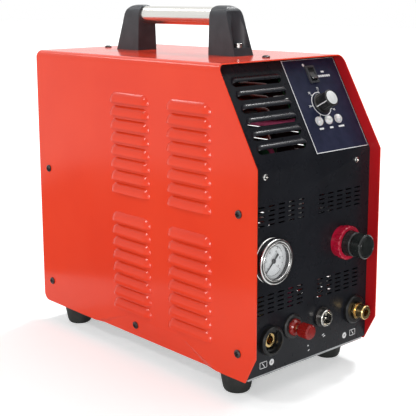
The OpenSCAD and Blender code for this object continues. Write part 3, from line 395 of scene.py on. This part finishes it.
def bar(width, height, thick, at=(0, 0), turn=0.0, rounding=0.2):
    # flat printed or moulded bar with its corners rounded
    clearSelection()
    bpy.ops.mesh.primitive_plane_add(size=1, location=(*at, 0), rotation=(0, 0, math.radians(turn)))
    piece = bpy.context.object
    piece.scale = (width, height, 1)
    bpy.ops.object.transform_apply(location=True, rotation=True, scale=True)
    bpy.ops.object.mode_set(mode="EDIT")
    bpy.ops.mesh.select_all(action="SELECT")
    bpy.ops.mesh.bevel(offset=min(width, height) * rounding, segments=3, affect="VERTICES")
    bpy.ops.mesh.extrude_region_move(TRANSFORM_OT_translate={"value": (0, 0, thick)})
    bpy.ops.mesh.select_all(action="SELECT")
    bpy.ops.mesh.normals_make_consistent(inside=False)
    bpy.ops.object.mode_set(mode="OBJECT")
    return piece


def band(inner, outer, start, end, thick, at=(0, 0)):
    # part of a flat ring, spun from its first face
    clearSelection()
    bpy.ops.mesh.primitive_plane_add(size=1, rotation=(math.radians(90), 0, 0))
    piece = bpy.context.object
    piece.scale = (outer - inner, thick, 1)
    piece.location = ((inner + outer) / 2, 0, thick / 2)
    bpy.ops.object.transform_apply(location=True, rotation=True, scale=True)
    piece.data.transform(Matrix.Rotation(math.radians(start), 4, "Z"))
    bpy.ops.object.mode_set(mode="EDIT")
    bpy.ops.mesh.select_all(action="SELECT")
    bpy.ops.mesh.spin(steps=48, angle=math.radians(end - start), center=(0, 0, 0), axis=(0, 0, 1))
    bpy.ops.mesh.select_all(action="SELECT")
    bpy.ops.mesh.remove_doubles(threshold=0.001)
    if end - start >= 360:  # a full ring keeps no wall where its ends meet
        meshData = bmesh.from_edit_mesh(piece.data)
        inside = [f for f in meshData.faces if all(len(e.link_faces) > 2 for e in f.edges)]
        bmesh.ops.delete(meshData, geom=inside, context="FACES_ONLY")
        bmesh.update_edit_mesh(piece.data)
    bpy.ops.mesh.select_all(action="SELECT")
    bpy.ops.mesh.normals_make_consistent(inside=False)
    bpy.ops.object.mode_set(mode="OBJECT")
    piece.data.transform(Matrix.Translation((*at, 0)))
    return piece


def numeral(text, size, thick, at):
    clearSelection()
    bpy.ops.object.text_add(location=(*at, thick / 2))
    piece = bpy.context.object
    piece.data.body = text
    piece.data.size = size
    piece.data.align_x, piece.data.align_y = "CENTER", "CENTER"
    piece.data.extrude = thick / 2
    bpy.ops.object.convert(target="MESH")
    bpy.ops.object.transform_apply(location=True, rotation=True, scale=True)
    piece = bpy.context.object
    bpy.ops.object.mode_set(mode="EDIT")
    bpy.ops.mesh.select_all(action="SELECT")
    bpy.ops.mesh.remove_doubles(threshold=0.0005)
    bpy.ops.mesh.normals_make_consistent(inside=False)
    bpy.ops.object.mode_set(mode="OBJECT")
    return piece


edgeRadii = {  # small radii of folded sheet, moulded and turned parts, in millimetres
    "cover": 0.35, "front_panel": 0.3, "rear_panel": 0.3, "base_tray": 0.3,
    "handle_post_front": 0.9, "handle_post_rear": 0.9, "handle_tube": 0.3, "handle_screws": 0.3,
    "foot_front_left": 0.6, "foot_front_right": 0.6, "foot_rear_left": 0.6, "foot_rear_right": 0.6,
    "cover_screws": 0.25, "panel_screws": 0.15,
    "air_switch_bezel": 0.3, "air_switch_rocker": 0.35, "current_knob": 0.15,
    "led_left": 0.15, "led_middle": 0.15, "led_right": 0.15,
    "gauge_flange": 0.1, "gauge_bezel": 0.15, "gauge_needle": 0.05,
    "regulator_ring": 0.25, "regulator_bonnet": 0.3, "regulator_stem": 0.2, "regulator_knob": 0.75,
    "earth_socket_body": 0.25, "earth_socket_insert": 0.2,
    "pilot_terminal_base": 0.25, "pilot_terminal_collar": 0.2, "pilot_terminal_cap": 0.15,
    "trigger_socket_nut": 0.15, "trigger_socket_shell": 0.15, "trigger_socket_insert": 0.15,
    "torch_socket_flange": 0.25, "torch_socket_fitting": 0.2,
    "fan_guard": 0.0, "fan_frame": 0.3, "fan_rotor": 0.3,
    "mains_switch_body": 0.35, "mains_switch_rocker": 0.4, "cable_gland": 0.3,
}


def skinArea(mesh):
    mesh.calc_loop_triangles()
    return sum(triangle.area for triangle in mesh.loop_triangles)


relief = {  # low in each side of the cover, in millimetres and degrees
    "cornersY": (107, 193), "top": 21.3, "depth": 3.0,
    "round": 22, "segments": 8, "reach": 0.4,
    "fold": 3.5, "margin": 0.5,
}


def roundRelief(piece):
    # large round corners in the outline of the shallow relief
    r = relief
    bpy.ops.mesh.select_all(action="DESELECT")
    shape = bmesh.from_edit_mesh(piece.data)
    corners = [casePoint(case["halfWidth"], y, r["top"]) for y in r["cornersY"]]
    for vertex in shape.verts:
        mirrored = Vector((abs(vertex.co.x), vertex.co.y, vertex.co.z))
        if any((mirrored - corner).length < r["reach"] / 1000 for corner in corners):
            vertex.select_set(True)
    bmesh.update_edit_mesh(piece.data)
    bpy.ops.mesh.bevel(offset=r["round"] / 1000, segments=r["segments"], affect="VERTICES",
                       clamp_overlap=True)


def creaseRelief(piece):
    # its outline is a crisp fold, though a shallow one
    r = relief
    wide = (case["halfWidth"] - r["depth"] - r["margin"]) / 1000
    high = casePoint(0, 0, r["top"] + r["margin"]).z
    shape = bmesh.new()
    shape.from_mesh(piece.data)
    for edge in shape.edges:
        low = all(abs(v.co.x) > wide and v.co.z < high for v in edge.verts)
        if low and len(edge.link_faces) == 2 and edge.calc_face_angle() > math.radians(r["fold"]):
            edge.smooth = False
    shape.to_mesh(piece.data)
    shape.free()


edgeWork = {  # distance in metres, angles in degrees, and how much an area may grow
    "merge": 0.000002, "flat": 0.5, "quadFace": 1, "quadShape": 120,
    "segments": 2, "bevelFrom": 40, "smoothTo": 38, "growth": 1.003,
}


def roundEdges(piece, way, radius):
    e = edgeWork
    makeActive(piece)
    bpy.ops.mesh.customdata_custom_splitnormals_clear()
    bpy.ops.object.mode_set(mode="EDIT")
    bpy.ops.mesh.select_all(action="SELECT")
    bpy.ops.mesh.remove_doubles(threshold=e["merge"])
    if way == "flat":
        bpy.ops.mesh.dissolve_limited(angle_limit=math.radians(e["flat"]))
    if way == "quads":
        bpy.ops.mesh.tris_convert_to_quads(face_threshold=math.radians(e["quadFace"]),
                                           shape_threshold=math.radians(e["quadShape"]))
    if piece.name.startswith("cover") and way == "flat":
        roundRelief(piece)
    bpy.ops.object.mode_set(mode="OBJECT")
    if radius > 0 and way != "plain":
        edge = piece.modifiers.new("edge", "BEVEL")
        edge.width = radius / 1000
        edge.segments = e["segments"]
        edge.limit_method = "ANGLE"
        edge.angle_limit = math.radians(e["bevelFrom"])
        edge.harden_normals = True
        edge.use_clamp_overlap = True
    bpy.ops.object.shade_smooth_by_angle(angle=math.radians(e["smoothTo"]))
    if piece.name.startswith("cover"):
        creaseRelief(piece)
    applyModifiers(piece)


def markInside(piece):
    # faces that look to the middle of the case, read by the paint's node to paint shade on them
    marks = piece.data.attributes.new("inside", "FLOAT", "FACE")
    inward = [face.normal.x * face.center.x < -0.001 for face in piece.data.polygons]
    marks.data.foreach_set("value", [float(value) for value in inward])


def finishedCopy(nodeName, radius):
    source = nodes[nodeName]
    piece = source.copy()
    body = source["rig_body"]
    for key in [k for k in piece.keys() if k.startswith("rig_")]:
        del piece[key]
    bpy.context.scene.collection.objects.link(piece)
    words = nodeName.split("_")
    piece.name = words[0] + "".join(w.capitalize() for w in words[1:]) + "Finished"
    piece.parent = None
    for way in ("flat", "quads", "plain"):  # a ring-shaped face must not close over its hole
        piece.data = source.data.copy()
        piece.data.name = piece.name
        roundEdges(piece, way, radius)
        if skinArea(piece.data) < edgeWork["growth"] * skinArea(source.data):
            break
        print(nodeName, "closes a hole when", way)
    if nodeName == "cover":
        markInside(piece)
    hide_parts(nodeName)
    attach(piece, body)


for nodeName, radius in edgeRadii.items():
    finishedCopy(nodeName, radius)
print("edges rounded on", len(edgeRadii), "parts")


# Print on the film of the sloped panel, in millimetres on the slope
overlayMarks = {
    "lift": 0.3, "ink": 0.07,
    "border": [  # width, height and middle of each line
        (0.9, 101, (8.2, 58.5)), (79.5, 0.72, (47.2, 8.6)),
        (0.35, 101, (86.6, 58.5)), (79.5, 0.35, (47.2, 108.6))],
    "switchDot": (3.0, 3.2, (37.5, 102.5)), "switchSign": (4.6, 2.0, (62.2, 93.6)),
    "label": {"x": 53.2, "y": 89.0, "height": 2.4, "gap": 0.4, "widths": (3.4, 2.4, 3.8, 2.6, 3.6, 2.8)},
    "lampLabels": {"y": 33.0, "height": 1.9, "turn": 1, "spots": ((28.4, 6.4), (43.4, 5.2), (58.6, 8.8))},
}


def makeOverlayMarks():
    m = overlayMarks
    parts = [bar(width, height, m["ink"], at=at) for width, height, at in m["border"]]
    width, height, at = m["switchDot"]
    parts.append(bar(width, height, m["ink"], at=at, rounding=0.45))
    width, height, at = m["switchSign"]
    parts.append(bar(width, height, m["ink"], at=at))
    label = m["label"]  # strokes beside the switch
    labelX = label["x"]
    for width in label["widths"]:
        middle = (labelX + width / 2, label["y"])
        parts.append(bar(width - label["gap"], label["height"], m["ink"], at=middle))
        labelX += width
    label = m["lampLabels"]
    for x, width in label["spots"]:
        parts.append(bar(width, label["height"], m["ink"], at=(x, label["y"]), turn=label["turn"]))
    settle(joined(parts), "overlayMarks", slopePlace(0, 0, m["lift"]), "overlayInk")


currentScale = {
    "at": (41.7, 58.9), "ink": 0.07, "radius": 12.75, "width": 0.95, "start": -26.0, "end": 236.0,
    "values": ("20", "24", "28", "32", "36", "40"),
    "tick": {"length": 2.2, "width": 0.8, "radius": 13.9}, "number": {"size": 3.4, "radius": 17.3},
}


def onCircle(radius, degrees):
    return radius * math.cos(math.radians(degrees)), radius * math.sin(math.radians(degrees))


def makeCurrentScale():
    c, tick, number = currentScale, currentScale["tick"], currentScale["number"]
    half = c["width"] / 2
    parts = [band(c["radius"] - half, c["radius"] + half, c["start"], c["end"], c["ink"])]
    for i, value in enumerate(c["values"]):
        angle = c["end"] + (c["start"] - c["end"]) * i / (len(c["values"]) - 1)
        middle = onCircle(tick["radius"], angle)
        parts.append(bar(tick["length"], tick["width"], c["ink"], at=middle, turn=angle))
        parts.append(numeral(value, number["size"], c["ink"], at=onCircle(number["radius"], angle)))
    settle(joined(parts), "currentScale", slopePlace(*c["at"], overlayMarks["lift"]), "overlayInk")


makeOverlayMarks()
makeCurrentScale()
print("overlay printed")


# Aluminium insert and white pointer line of the current knob
knobTop = {
    "at": currentScale["at"], "pointer": 196.0,
    "insert": {
        "radius": 7.2, "depth": 0.5, "up": 15.87, "rim": 0.5, "crown": 0.12, "slope": 5.2, "dish": -0.1},
    "line": {"length": 3.6, "width": 0.9, "thick": 0.1, "out": 9.3, "up": 2.6},
    "rib": {"size": (0.2, 0.95, 12.6), "at": (9.15, 0, 9.0), "edge": 0.06},
}


def makeKnobInsert():
    insert = knobTop["insert"]
    clearSelection()
    bpy.ops.mesh.primitive_cylinder_add(vertices=64, radius=insert["radius"], depth=insert["depth"],
                                        location=(0, 0, insert["up"]))
    cap = bpy.context.object
    bpy.ops.object.mode_set(mode="EDIT")
    bpy.ops.mesh.select_all(action="DESELECT")
    meshData = bmesh.from_edit_mesh(cap.data)
    for face in meshData.faces:
        face.select_set(face.normal.z > 0.9)
    bmesh.update_edit_mesh(cap.data)
    bpy.ops.mesh.inset(thickness=insert["rim"])
    bpy.ops.transform.translate(value=(0, 0, insert["crown"]))
    bpy.ops.mesh.inset(thickness=insert["slope"])
    bpy.ops.transform.translate(value=(0, 0, insert["dish"]))
    bpy.ops.object.mode_set(mode="OBJECT")
    settle(cap, "knobInsert", slopePlace(*knobTop["at"]), "capAluminium", body="current_control")


def makeKnobPointer():
    mark, ribSize = knobTop["line"], knobTop["rib"]
    line = bar(mark["length"], mark["width"], mark["thick"], at=(mark["out"], 0))
    line.data.transform(Matrix.Translation((0, 0, mark["up"])))
    clearSelection()
    bpy.ops.mesh.primitive_cube_add(size=1, location=ribSize["at"])
    rib = bpy.context.object
    rib.scale = ribSize["size"]
    bpy.ops.object.transform_apply(location=True, rotation=True, scale=True)
    soft = rib.modifiers.new("edge", "BEVEL")
    soft.width = ribSize["edge"]
    applyModifiers(rib)
    pointer = joined([rib, line])
    pointer.data.transform(Matrix.Rotation(math.radians(knobTop["pointer"]), 4, "Z"))
    settle(pointer, "knobPointer", slopePlace(*knobTop["at"]), "overlayInk", body="current_control")


makeKnobInsert()
makeKnobPointer()
print("knob finished")


# Arc, ticks and plain numbers on the dial of the gauge
gaugeDial = {
    "at": (-58, 115), "lift": 3.1, "ink": 0.06, "radius": 14.6, "within": 0.25, "beyond": 0.15,
    "zero": 225.0, "sweep": 270.0, "steps": 50,
    "ticks": ((10, 2.6, 0.55), (5, 1.7, 0.55), (1, 1.0, 0.25)),  # every so many steps, length, width
    "values": ("0", "2", "4", "6", "8", "10"), "number": {"size": 3.6, "radius": 9.6},
}


def makeDialPrint():
    g, number = gaugeDial, gaugeDial["number"]
    inner, outer = g["radius"] - g["within"], g["radius"] + g["beyond"]
    parts = [band(inner, outer, g["zero"] - g["sweep"], g["zero"], g["ink"])]
    for i in range(g["steps"] + 1):
        angle = g["zero"] - g["sweep"] * i / g["steps"]
        length, width = next(tick[1:] for tick in g["ticks"] if i % tick[0] == 0)
        middle = onCircle(g["radius"] - length / 2, angle)
        parts.append(bar(length, width, g["ink"], at=middle, turn=angle, rounding=0.1))
    for i, value in enumerate(g["values"]):
        angle = g["zero"] - g["sweep"] * i / (len(g["values"]) - 1)
        parts.append(numeral(value, number["size"], g["ink"], at=onCircle(number["radius"], angle)))
    settle(joined(parts), "dialPrint", frontPlace(*g["at"], g["lift"]), "dialInk")


makeDialPrint()
print("gauge printed")


# Leads and hoses behind the panel. Each has a finish, a thickness and the points of the case that it
# runs through, in millimetres
leads = {
    "airHose": ("sleeveWhite", 5.0, [
        (-24, 24, 178), (-23, 23, 168), (-23, 23, 146), (-22, 28, 132), (-8, 50, 118), (14, 58, 110)]),
    "gaugeHose": ("sleeveWhite", 4.2, [
        (-4, 24, 166), (-6, 23, 156), (-7, 23, 146), (-16, 36, 130), (-40, 52, 118), (-56, 56, 115)]),
    "pilotLead": ("sleevePink", 4.6, [
        (-20, 24, 92), (-21, 23, 84), (-21, 23, 56), (-24, 27, 46), (-26.9, 32, 42)]),
    "torchLead": ("sleevePink", 5.4, [
        (-60, 46, 244), (-30, 44, 240), (0, 46, 238), (40, 50, 240), (70, 70, 236)]),
    "earthLead": ("sleevePink", 5.0, [
        (-74, 40, 226), (-52, 38, 222), (-30, 40, 214), (-22, 46, 200), (-24, 60, 186)]),
    "boardLead": ("sleeveWhite", 3.4, [
        (-36, 50, 262), (-20, 46, 259), (2, 46, 261), (18, 50, 258), (30, 40, 246)]),
    "lowLead": ("sleevePink", 4.0, [
        (-70, 36, 210), (-50, 32, 208), (-34, 34, 202), (-20, 44, 196), (0, 62, 188)]),
    "fanLead": ("sleeveWhite", 3.0, [
        (-70, 30, 192), (-40, 27, 190), (-14, 28, 193), (6, 34, 196), (20, 50, 190)]),
}


def makeLeads():
    for name, (finishName, width, points) in leads.items():
        clearSelection()
        bpy.ops.curve.primitive_bezier_curve_add()
        lead = bpy.context.object
        spline = lead.data.splines[0]
        spline.bezier_points.add(len(points) - 2)
        for knot, point in zip(spline.bezier_points, points):
            knot.co = casePoint(*point) * 1000
            knot.handle_left_type = knot.handle_right_type = "AUTO"
        lead.data.dimensions = "3D"
        lead.data.resolution_u = 10
        lead.data.bevel_depth = width / 2
        lead.data.bevel_resolution = 4
        lead.data.use_fill_caps = True
        bpy.ops.object.convert(target="MESH")
        settle(bpy.context.object, name, Matrix.Scale(0.001, 4), finishName,
               smooth=60)


# White plug housings of the leads, each with its place in the case, width and height
plugs = {
    "depth": 7, "edge": 0.5, "rim": 0.7, "nose": 3,
    "housings": [
        ((18, 25, 80), 5, 4), ((19, 25, 66), 5, 4), ((35, 25, 70.5), 6, 5), ((32, 25, 62.5), 6, 4),
        ((36, 25, 147.5), 4.5, 4), ((-2, 52, 262), 13, 4)],
}


def makePlugs():
    p = plugs
    made = []
    for place, width, height in p["housings"]:
        clearSelection()
        bpy.ops.mesh.primitive_cube_add(size=1)
        plug = bpy.context.object
        plug.scale = (width, p["depth"], height)
        bpy.ops.object.transform_apply(location=True, rotation=True, scale=True)
        bpy.ops.object.mode_set(mode="EDIT")
        bpy.ops.mesh.select_all(action="SELECT")
        bpy.ops.mesh.bevel(offset=p["edge"], segments=2)
        bpy.ops.mesh.select_all(action="DESELECT")
        shape = bmesh.from_edit_mesh(plug.data)
        for face in shape.faces:
            face.select_set(face.normal.y > 0.9)
        bmesh.update_edit_mesh(plug.data)
        bpy.ops.mesh.inset(thickness=p["rim"])
        bpy.ops.mesh.extrude_region_move(TRANSFORM_OT_translate={"value": (0, p["nose"], 0)})
        bpy.ops.object.mode_set(mode="OBJECT")
        plug.data.transform(Matrix.Translation(casePoint(*place) * 1000))
        made.append(plug)
    settle(joined(made), "plugHousings", Matrix.Scale(0.001, 4), "sleeveWhite")


makeLeads()
makePlugs()
print("leads laid:", len(leads))


# Generic marks on the lower edge of the front panel, in millimetres on the panel
frontMarks = {
    "ink": 0.06,
    "disc": {"inner": 1.0, "outer": 3.2, "signLong": 1.6, "signWide": 0.5, "signInk": 0.072},
    "frame": {"line": 0.6, "slantWide": 0.8, "slantLong": 0.9, "slant": -52},
    "plusAt": (-55.0, 12.3), "minusAt": (54.5, 11.8),
    "frames": [((-66.5, 12.3), 9.5, 6.0), ((67.6, 12.0), 8.5, 6.0)],  # middle, width and height
    "strokes": [  # width, height, middle and turn
        (3.4, 1.0, (20.5, 21.2), 18), (3.4, 1.0, (22.2, 19.3), 18),
        (1.6, 1.4, (-2.2, 15.3), 0), (2.2, 1.0, (-1.1, 10.2), 20)],
}


def signDisc(at, plus):
    # ring with a minus or plus sign inside it
    d = frontMarks["disc"]
    parts = [band(d["inner"], d["outer"], 0, 360, frontMarks["ink"], at=at)]
    if plus:
        parts.append(bar(d["signWide"], d["signLong"], d["signInk"], at=at, rounding=0.1))
    parts.append(bar(d["signLong"], d["signWide"], d["signInk"], at=at, rounding=0.1))
    return parts


def frameMark(at, width, height):
    # outlined rectangle with a slanted stroke
    f, ink = frontMarks["frame"], frontMarks["ink"]
    x, y = at
    return [
        bar(width, f["line"], ink, at=(x, y + height / 2)),
        bar(width, f["line"], ink, at=(x, y - height / 2)),
        bar(f["line"], height, ink, at=(x - width / 2, y)),
        bar(f["line"], height, ink, at=(x + width / 2, y)),
        bar(height * f["slantLong"], f["slantWide"], ink, at=at, turn=f["slant"]),
    ]


def makeFrontMarks():
    m = frontMarks
    parts = signDisc(m["plusAt"], plus=True) + frameMark(*m["frames"][0])
    parts += signDisc(m["minusAt"], plus=False) + frameMark(*m["frames"][1])
    parts += [bar(width, height, m["ink"], at=at, turn=turn) for width, height, at, turn in m["strokes"]]
    settle(joined(parts), "frontMarks", frontPlace(0, 0), "overlayInk")


makeFrontMarks()
print("front marks printed")


studio = {
    "floor": {"size": 14, "at": (0, 3, 0), "tone": (0.92, 0.94, 0.94, 1), "roughness": 0.7, "shown": 0.40},
    "ambient": 0.25,
    "lamps": {  # strength, where it stands as seen from the object, spread in degrees
        "topLamp": (1.05, (0.30, -0.10, 0.95), 50),
        "sideLamp": (0.52, (-0.66, 0.25, 0.71), 9),
        "nearLamp": (1.04, (-0.78, -0.57, 0.24), 17),
        "ridgeLamp": (0.15, (-0.12, 0.75, 0.64), 10),
        "edgeLamp": (1.30, (0.62, 0.10, 0.78), 9),
    },
    "flags": {  # centre, size, turn about X and Z in degrees, and tone of the dark cards
        "flag": ((1.05, -1.20, 0.62), (2.6, 1.5), (90, 41), 0.03),
        "frontFlag": ((0.62, -0.62, 0.002), (1.4, 1.14), (0, 35), 0.03),
        "sideFlag": ((-0.64, 0.34, 0.002), (0.80, 1.1), (0, -30), 0.05),
    },
    "camera": {  # place in metres, angles in degrees, focal length and picture width in pixels
        "at": (-0.68975, -0.75897, 0.38954), "down": 10.796, "right": 40.864, "roll": -0.523,
        "focal": 947.22, "picture": 416, "sensor": 36, "shift": (0.0743, -0.0899), "near": 0.05,
    },
}


def makeFloor():
    f = studio["floor"]
    clearSelection()
    bpy.ops.mesh.primitive_plane_add(size=f["size"], location=f["at"])
    floor = bpy.context.object
    floor.name = "floor"
    paint = bpy.data.materials.new("floorWhite")
    paint.use_nodes = True
    tree = paint.node_tree
    shader = tree.nodes["Principled BSDF"]
    shader.inputs["Base Color"].default_value = f["tone"]
    shader.inputs["Roughness"].default_value = f["roughness"]
    shader.inputs["Specular IOR Level"].default_value = 0.0
    path = tree.nodes.new("ShaderNodeLightPath")
    level = tree.nodes.new("ShaderNodeMath")
    level.operation = "MULTIPLY"
    level.inputs[1].default_value = f["shown"]
    tree.links.new(path.outputs["Is Camera Ray"], level.inputs[0])
    shader.inputs["Emission Color"].default_value = (1, 1, 1, 1)
    tree.links.new(level.outputs[0], shader.inputs["Emission Strength"])
    floor.data.materials.append(paint)


def makeLight():
    world = bpy.data.worlds.new("studio")
    bpy.context.scene.world = world
    world.use_nodes = True
    tree = world.node_tree
    background = tree.nodes["Background"]
    background.inputs["Color"].default_value = (1, 1, 1, 1)
    path = tree.nodes.new("ShaderNodeLightPath")
    shown = tree.nodes.new("ShaderNodeMath")
    shown.operation = "MAXIMUM"
    tree.links.new(path.outputs["Is Camera Ray"], shown.inputs[0])
    tree.links.new(path.outputs["Is Glossy Ray"], shown.inputs[1])
    shownToo = tree.nodes.new("ShaderNodeMath")
    shownToo.operation = "MAXIMUM"
    tree.links.new(shown.outputs[0], shownToo.inputs[0])
    tree.links.new(path.outputs["Is Transmission Ray"], shownToo.inputs[1])
    level = tree.nodes.new("ShaderNodeMapRange")
    level.inputs["To Min"].default_value = studio["ambient"]
    level.inputs["To Max"].default_value = 1.0
    tree.links.new(shownToo.outputs[0], level.inputs["Value"])
    tree.links.new(level.outputs["Result"], background.inputs["Strength"])

    for name, (strength, where, spread) in studio["lamps"].items():
        lamp = bpy.data.lights.new(name, "SUN")
        lamp.energy = strength
        lamp.angle = math.radians(spread)
        holder = bpy.data.objects.new(name, lamp)
        holder.rotation_euler = Vector(where).to_track_quat("Z", "Y").to_euler()
        bpy.context.scene.collection.objects.link(holder)


def makeFlags():
    # dark cards that only the glossy paint and the chromed parts see
    for name, (at, size, turns, tone) in studio["flags"].items():
        clearSelection()
        bpy.ops.mesh.primitive_plane_add(size=1, location=at)
        card = bpy.context.object
        card.name = name
        card.scale = (*size, 1)
        card.rotation_euler = (math.radians(turns[0]), 0, math.radians(turns[1]))
        cloth = bpy.data.materials.new(name + "Cloth")
        cloth.use_nodes = True
        shader = cloth.node_tree.nodes["Principled BSDF"]
        shader.inputs["Base Color"].default_value = (tone, tone, tone, 1)
        shader.inputs["Roughness"].default_value = 0.8
        card.data.materials.append(cloth)
        card.visible_camera = card.visible_diffuse = card.visible_transmission = card.visible_shadow = False


def makeCamera():
    c = studio["camera"]
    scene = bpy.context.scene
    scene.view_settings.view_transform = "Standard"
    camera = bpy.data.cameras.new("camera")
    camera.sensor_width = c["sensor"]
    camera.lens = c["focal"] / c["picture"] * c["sensor"]
    camera.shift_x, camera.shift_y = c["shift"]
    camera.clip_start = c["near"]
    holder = bpy.data.objects.new("camera", camera)
    holder.location = c["at"]
    turn = Euler((math.radians(90 - c["down"]), 0, math.radians(-c["right"]))).to_matrix()
    holder.rotation_euler = (turn @ Matrix.Rotation(math.radians(c["roll"]), 3, "Z")).to_euler()
    scene.collection.objects.link(holder)
    scene.camera = holder


makeFloor()
makeFlags()
makeLight()
makeCamera()
print("floor, light and camera set")
